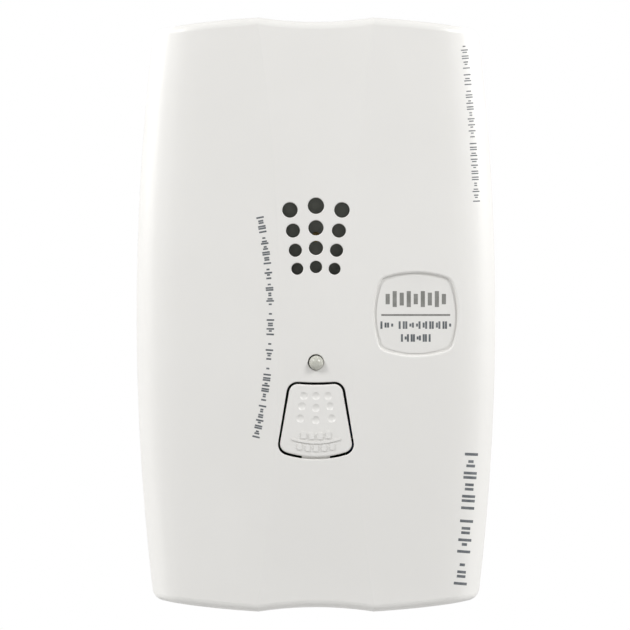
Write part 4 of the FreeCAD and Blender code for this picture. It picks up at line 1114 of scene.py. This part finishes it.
class DETECTOR_OT_components(Maker, Operator):
    """Finishes the relays, chips and other board parts, with their terminals, bands and prints"""
    bl_idname = "detector.components"
    bl_label = "Board Parts"
    nodes = (
        "relay_pins", "alarm_relay", "trouble_relay", "mcu_body", "mcu_leads", "regulator_body",
        "regulator_leads", "capacitor_cans", "capacitor_bases", "chip_resistors", "chip_capacitors",
        "diode_bodies", "transistor_bodies", "sounder_coil", "coil_winding", "crystal_can",
    )

    def make(self, scene):
        self.make_prints()
        self.make_terminals()
        self.make_marks()
        self.make_winding()

    def make_prints(self):
        mesh = bmesh.new()
        for name, rows in PRINTED:
            skin = skin_of_node(name)
            low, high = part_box(name)
            x, z = middle_of(low, high)
            wide, tall = 0.66 * (high.x - low.x), min(0.5 * (high.z - low.z), rows * 2.6 * MM)
            size = min(1.4 * MM, 0.5 * tall / rows)
            for k in range(rows):
                place = level_line(skin, x, z + (k - (rows - 1) / 2) * tall / rows)
                words = (4, 3) if k % 2 else (3, 5)
                add_row(mesh, place, words, wide, size, 0.16 * size, PART_INK, 31 + k)
        finish_piece("part_print", mesh, "legend_ink")

    def make_terminals(self):
        mesh = bmesh.new()
        out = Vector((PART_INK,) * 3)
        for points in islands("chip_resistors") + islands("chip_capacitors"):
            low, high = corners(points)
            along = 0 if high.x - low.x >= high.z - low.z else 2
            cap = CAP_SHARE * (high[along] - low[along])
            for end in (0, 1):
                a, b = low.copy(), high.copy()
                if end:
                    a[along] = high[along] - cap
                else:
                    b[along] = low[along] + cap
                b.y -= 0.005 * MM
                add_block(mesh, a - out, b + Vector((out.x, 0.0, out.z)), 0.03 * MM)
        finish_piece("chip_terminals", mesh, "solder")

    def make_marks(self):
        mesh = bmesh.new()
        for points in islands("diode_bodies"):
            low, high = corners(points)
            a = Vector((low.x + 0.3 * MM, low.y - PART_INK, low.z + 0.15 * MM))
            b = Vector((low.x + 1.0 * MM, low.y + 0.05 * MM, high.z - 0.15 * MM))
            add_block(mesh, a, b)
        turns = [math.radians(STRIPE_START + STRIPE_SPAN * k / STRIPE_STEPS) for k in range(STRIPE_STEPS + 1)]
        for points in islands("capacitor_cans"):
            low, high = corners(points)
            x, z = middle_of(low, high)
            radius = 0.72 * (high.x - low.x) / 2
            front, back = (
                [mesh.verts.new((x + radius * math.cos(a), y, z + radius * math.sin(a))) for a in turns]
                for y in (low.y - PART_INK, low.y + INK_BURIED)
            )
            mesh.faces.new(front)
            mesh.faces.new(back)
            join_rings(mesh, front, back)
        finish_piece("polarity_marks", mesh, "rating_ink")

    def make_winding(self):
        low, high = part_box("coil_winding")
        outer, tall, steps = (high.x - low.x) / 2, high.y - low.y, COIL_TURNS * COIL_STEPS
        profile = [(COIL_CORE, 0.0)]
        for k in range(steps + 1):
            bulge = abs(math.sin(math.pi * k / COIL_STEPS))
            profile.append((outer - 0.2 * MM * (1 - bulge), tall * k / steps))
        profile.append((COIL_CORE, tall))
        mesh = bmesh.new()
        add_turned(mesh, profile, middle_of(low, high), 48, base=-high.y)
        winding = finish_piece("coil_turns", mesh, "coil_copper", smooth=50.0)
        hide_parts("coil_winding")


class DETECTOR_OT_header(Maker, Operator):
    """Finishes the harness header and its pins"""
    bl_idname = "detector.header"
    bl_label = "Harness Header"
    nodes = ("header_shroud", "header_pins")


CAMERA_OFFSET = (-0.0002, -0.0001)  # of the camera from the case's middle, sideways and up
AIM = Vector((0.0, -0.02, 0.0))  # what every soft box faces


class DETECTOR_OT_stage(Maker, Operator):
    """Sets the floor, the soft boxes, the even light and the camera"""
    bl_idname = "detector.stage"
    bl_label = "Stage"

    def make(self, scene):
        scene.view_settings.view_transform = "Standard"
        settings = scene.detector_stage
        self.make_floor(scene, settings)
        # name, place of the right-hand one of the pair, size, power
        for name, place, size, power in (
            ("key", (0.50, -0.42, 0.45), (0.20, 0.22), settings.key_power),
            ("side", (0.45, 0.03, 0.20), (0.30, 0.30), settings.side_power),
            ("back", (0.50, 0.75, 0.45), (0.45, 0.45), settings.back_power),
        ):
            for side in (-1, 1):
                light = bpy.data.lights.new(name, "AREA")
                light.shape = "RECTANGLE"
                light.size, light.size_y = size
                light.energy = power
                holder = bpy.data.objects.new(name, light)
                holder.location = (side * place[0], place[1], place[2])
                holder.rotation_euler = (AIM - holder.location).to_track_quat("-Z", "Y").to_euler()
                scene.collection.objects.link(holder)

        world = bpy.data.worlds.new("studio")
        world.use_nodes = True
        scene.world = world
        tree = world.node_tree
        tree.nodes.clear()
        lit = add_node(tree, "Background", {"Color": (1, 1, 1, 1), "Strength": settings.fill})
        seen = add_node(tree, "Background", {"Color": (1, 1, 1, 1), "Strength": 1.0})
        camera_ray = add_node(tree, "LightPath").outputs["Is Camera Ray"]
        both = add_node(tree, "MixShader", {0: camera_ray, 1: lit.outputs[0], 2: seen.outputs[0]})
        add_node(tree, "OutputWorld", {"Surface": both.outputs[0]})

        lens = bpy.data.cameras.new("camera")
        lens.lens = settings.lens
        lens.sensor_width = 36.0
        camera = bpy.data.objects.new("camera", lens)
        camera.location = (CAMERA_OFFSET[0], -settings.camera_distance, CAMERA_OFFSET[1])
        camera.rotation_euler = (math.pi / 2, 0.0, 0.0)
        scene.collection.objects.link(camera)
        scene.camera = camera

    def make_floor(self, scene, settings):
        mesh = bmesh.new()
        half = settings.floor_size / 2
        points = [(-half, -half), (half, -half), (half, half), (-half, half)]
        mesh.faces.new([mesh.verts.new((x, y, -settings.floor_drop)) for x, y in points])
        data = bpy.data.meshes.new("floor")
        mesh.to_mesh(data)
        mesh.free()
        material, tree, shader = bare_material("floor_paper", Roughness=0.9)
        clouds = placed(tree, "grain", Grain_Size=1.5, Cloud_Size=300.0)
        tone = mixed(tree, clouds["Cloud"], (0.50, 0.50, 0.50), (0.53, 0.53, 0.53))
        tree.links.new(tone, shader.inputs["Base Color"])
        data.materials.append(material)
        floor = bpy.data.objects.new("floor", data)
        scene.collection.objects.link(floor)


class DETECTOR_PT_panel(Panel):
    """Lists the detector's operators in the sidebar"""
    bl_idname = "DETECTOR_PT_panel"
    bl_label = "Detector"
    bl_space_type = "VIEW_3D"
    bl_region_type = "UI"
    bl_category = "Detector"

    def draw(self, context):
        for operator in OPERATORS:
            self.layout.operator(operator.bl_idname)


SETTINGS = {
    "detector_cover": CoverSettings, "detector_print": PrintSettings, "detector_light": LightSettings,
    "detector_metal": MetalSettings, "detector_board": BoardSettings, "detector_stage": StageSettings,
}
OPERATORS = (
    DETECTOR_OT_finishes, DETECTOR_OT_cover, DETECTOR_OT_face_print, DETECTOR_OT_name_label,
    DETECTOR_OT_button, DETECTOR_OT_status_light, DETECTOR_OT_rear_housing, DETECTOR_OT_hardware,
    DETECTOR_OT_board, DETECTOR_OT_sounder, DETECTOR_OT_gas_sensor, DETECTOR_OT_switch,
    DETECTOR_OT_components, DETECTOR_OT_header, DETECTOR_OT_stage,
)


def register():
    for made in (*SETTINGS.values(), *OPERATORS, DETECTOR_PT_panel):
        bpy.utils.register_class(made)
    for name, group in SETTINGS.items():
        setattr(bpy.types.Scene, name, PointerProperty(type=group))


def unregister():
    for name in SETTINGS:
        delattr(bpy.types.Scene, name)
    for made in reversed((*SETTINGS.values(), *OPERATORS, DETECTOR_PT_panel)):
        bpy.utils.unregister_class(made)


def main():
    register()
    for operator in OPERATORS:
        family, name = operator.bl_idname.split(".")
        getattr(getattr(bpy.ops, family), name)()


if __name__ == "__main__":
    main()
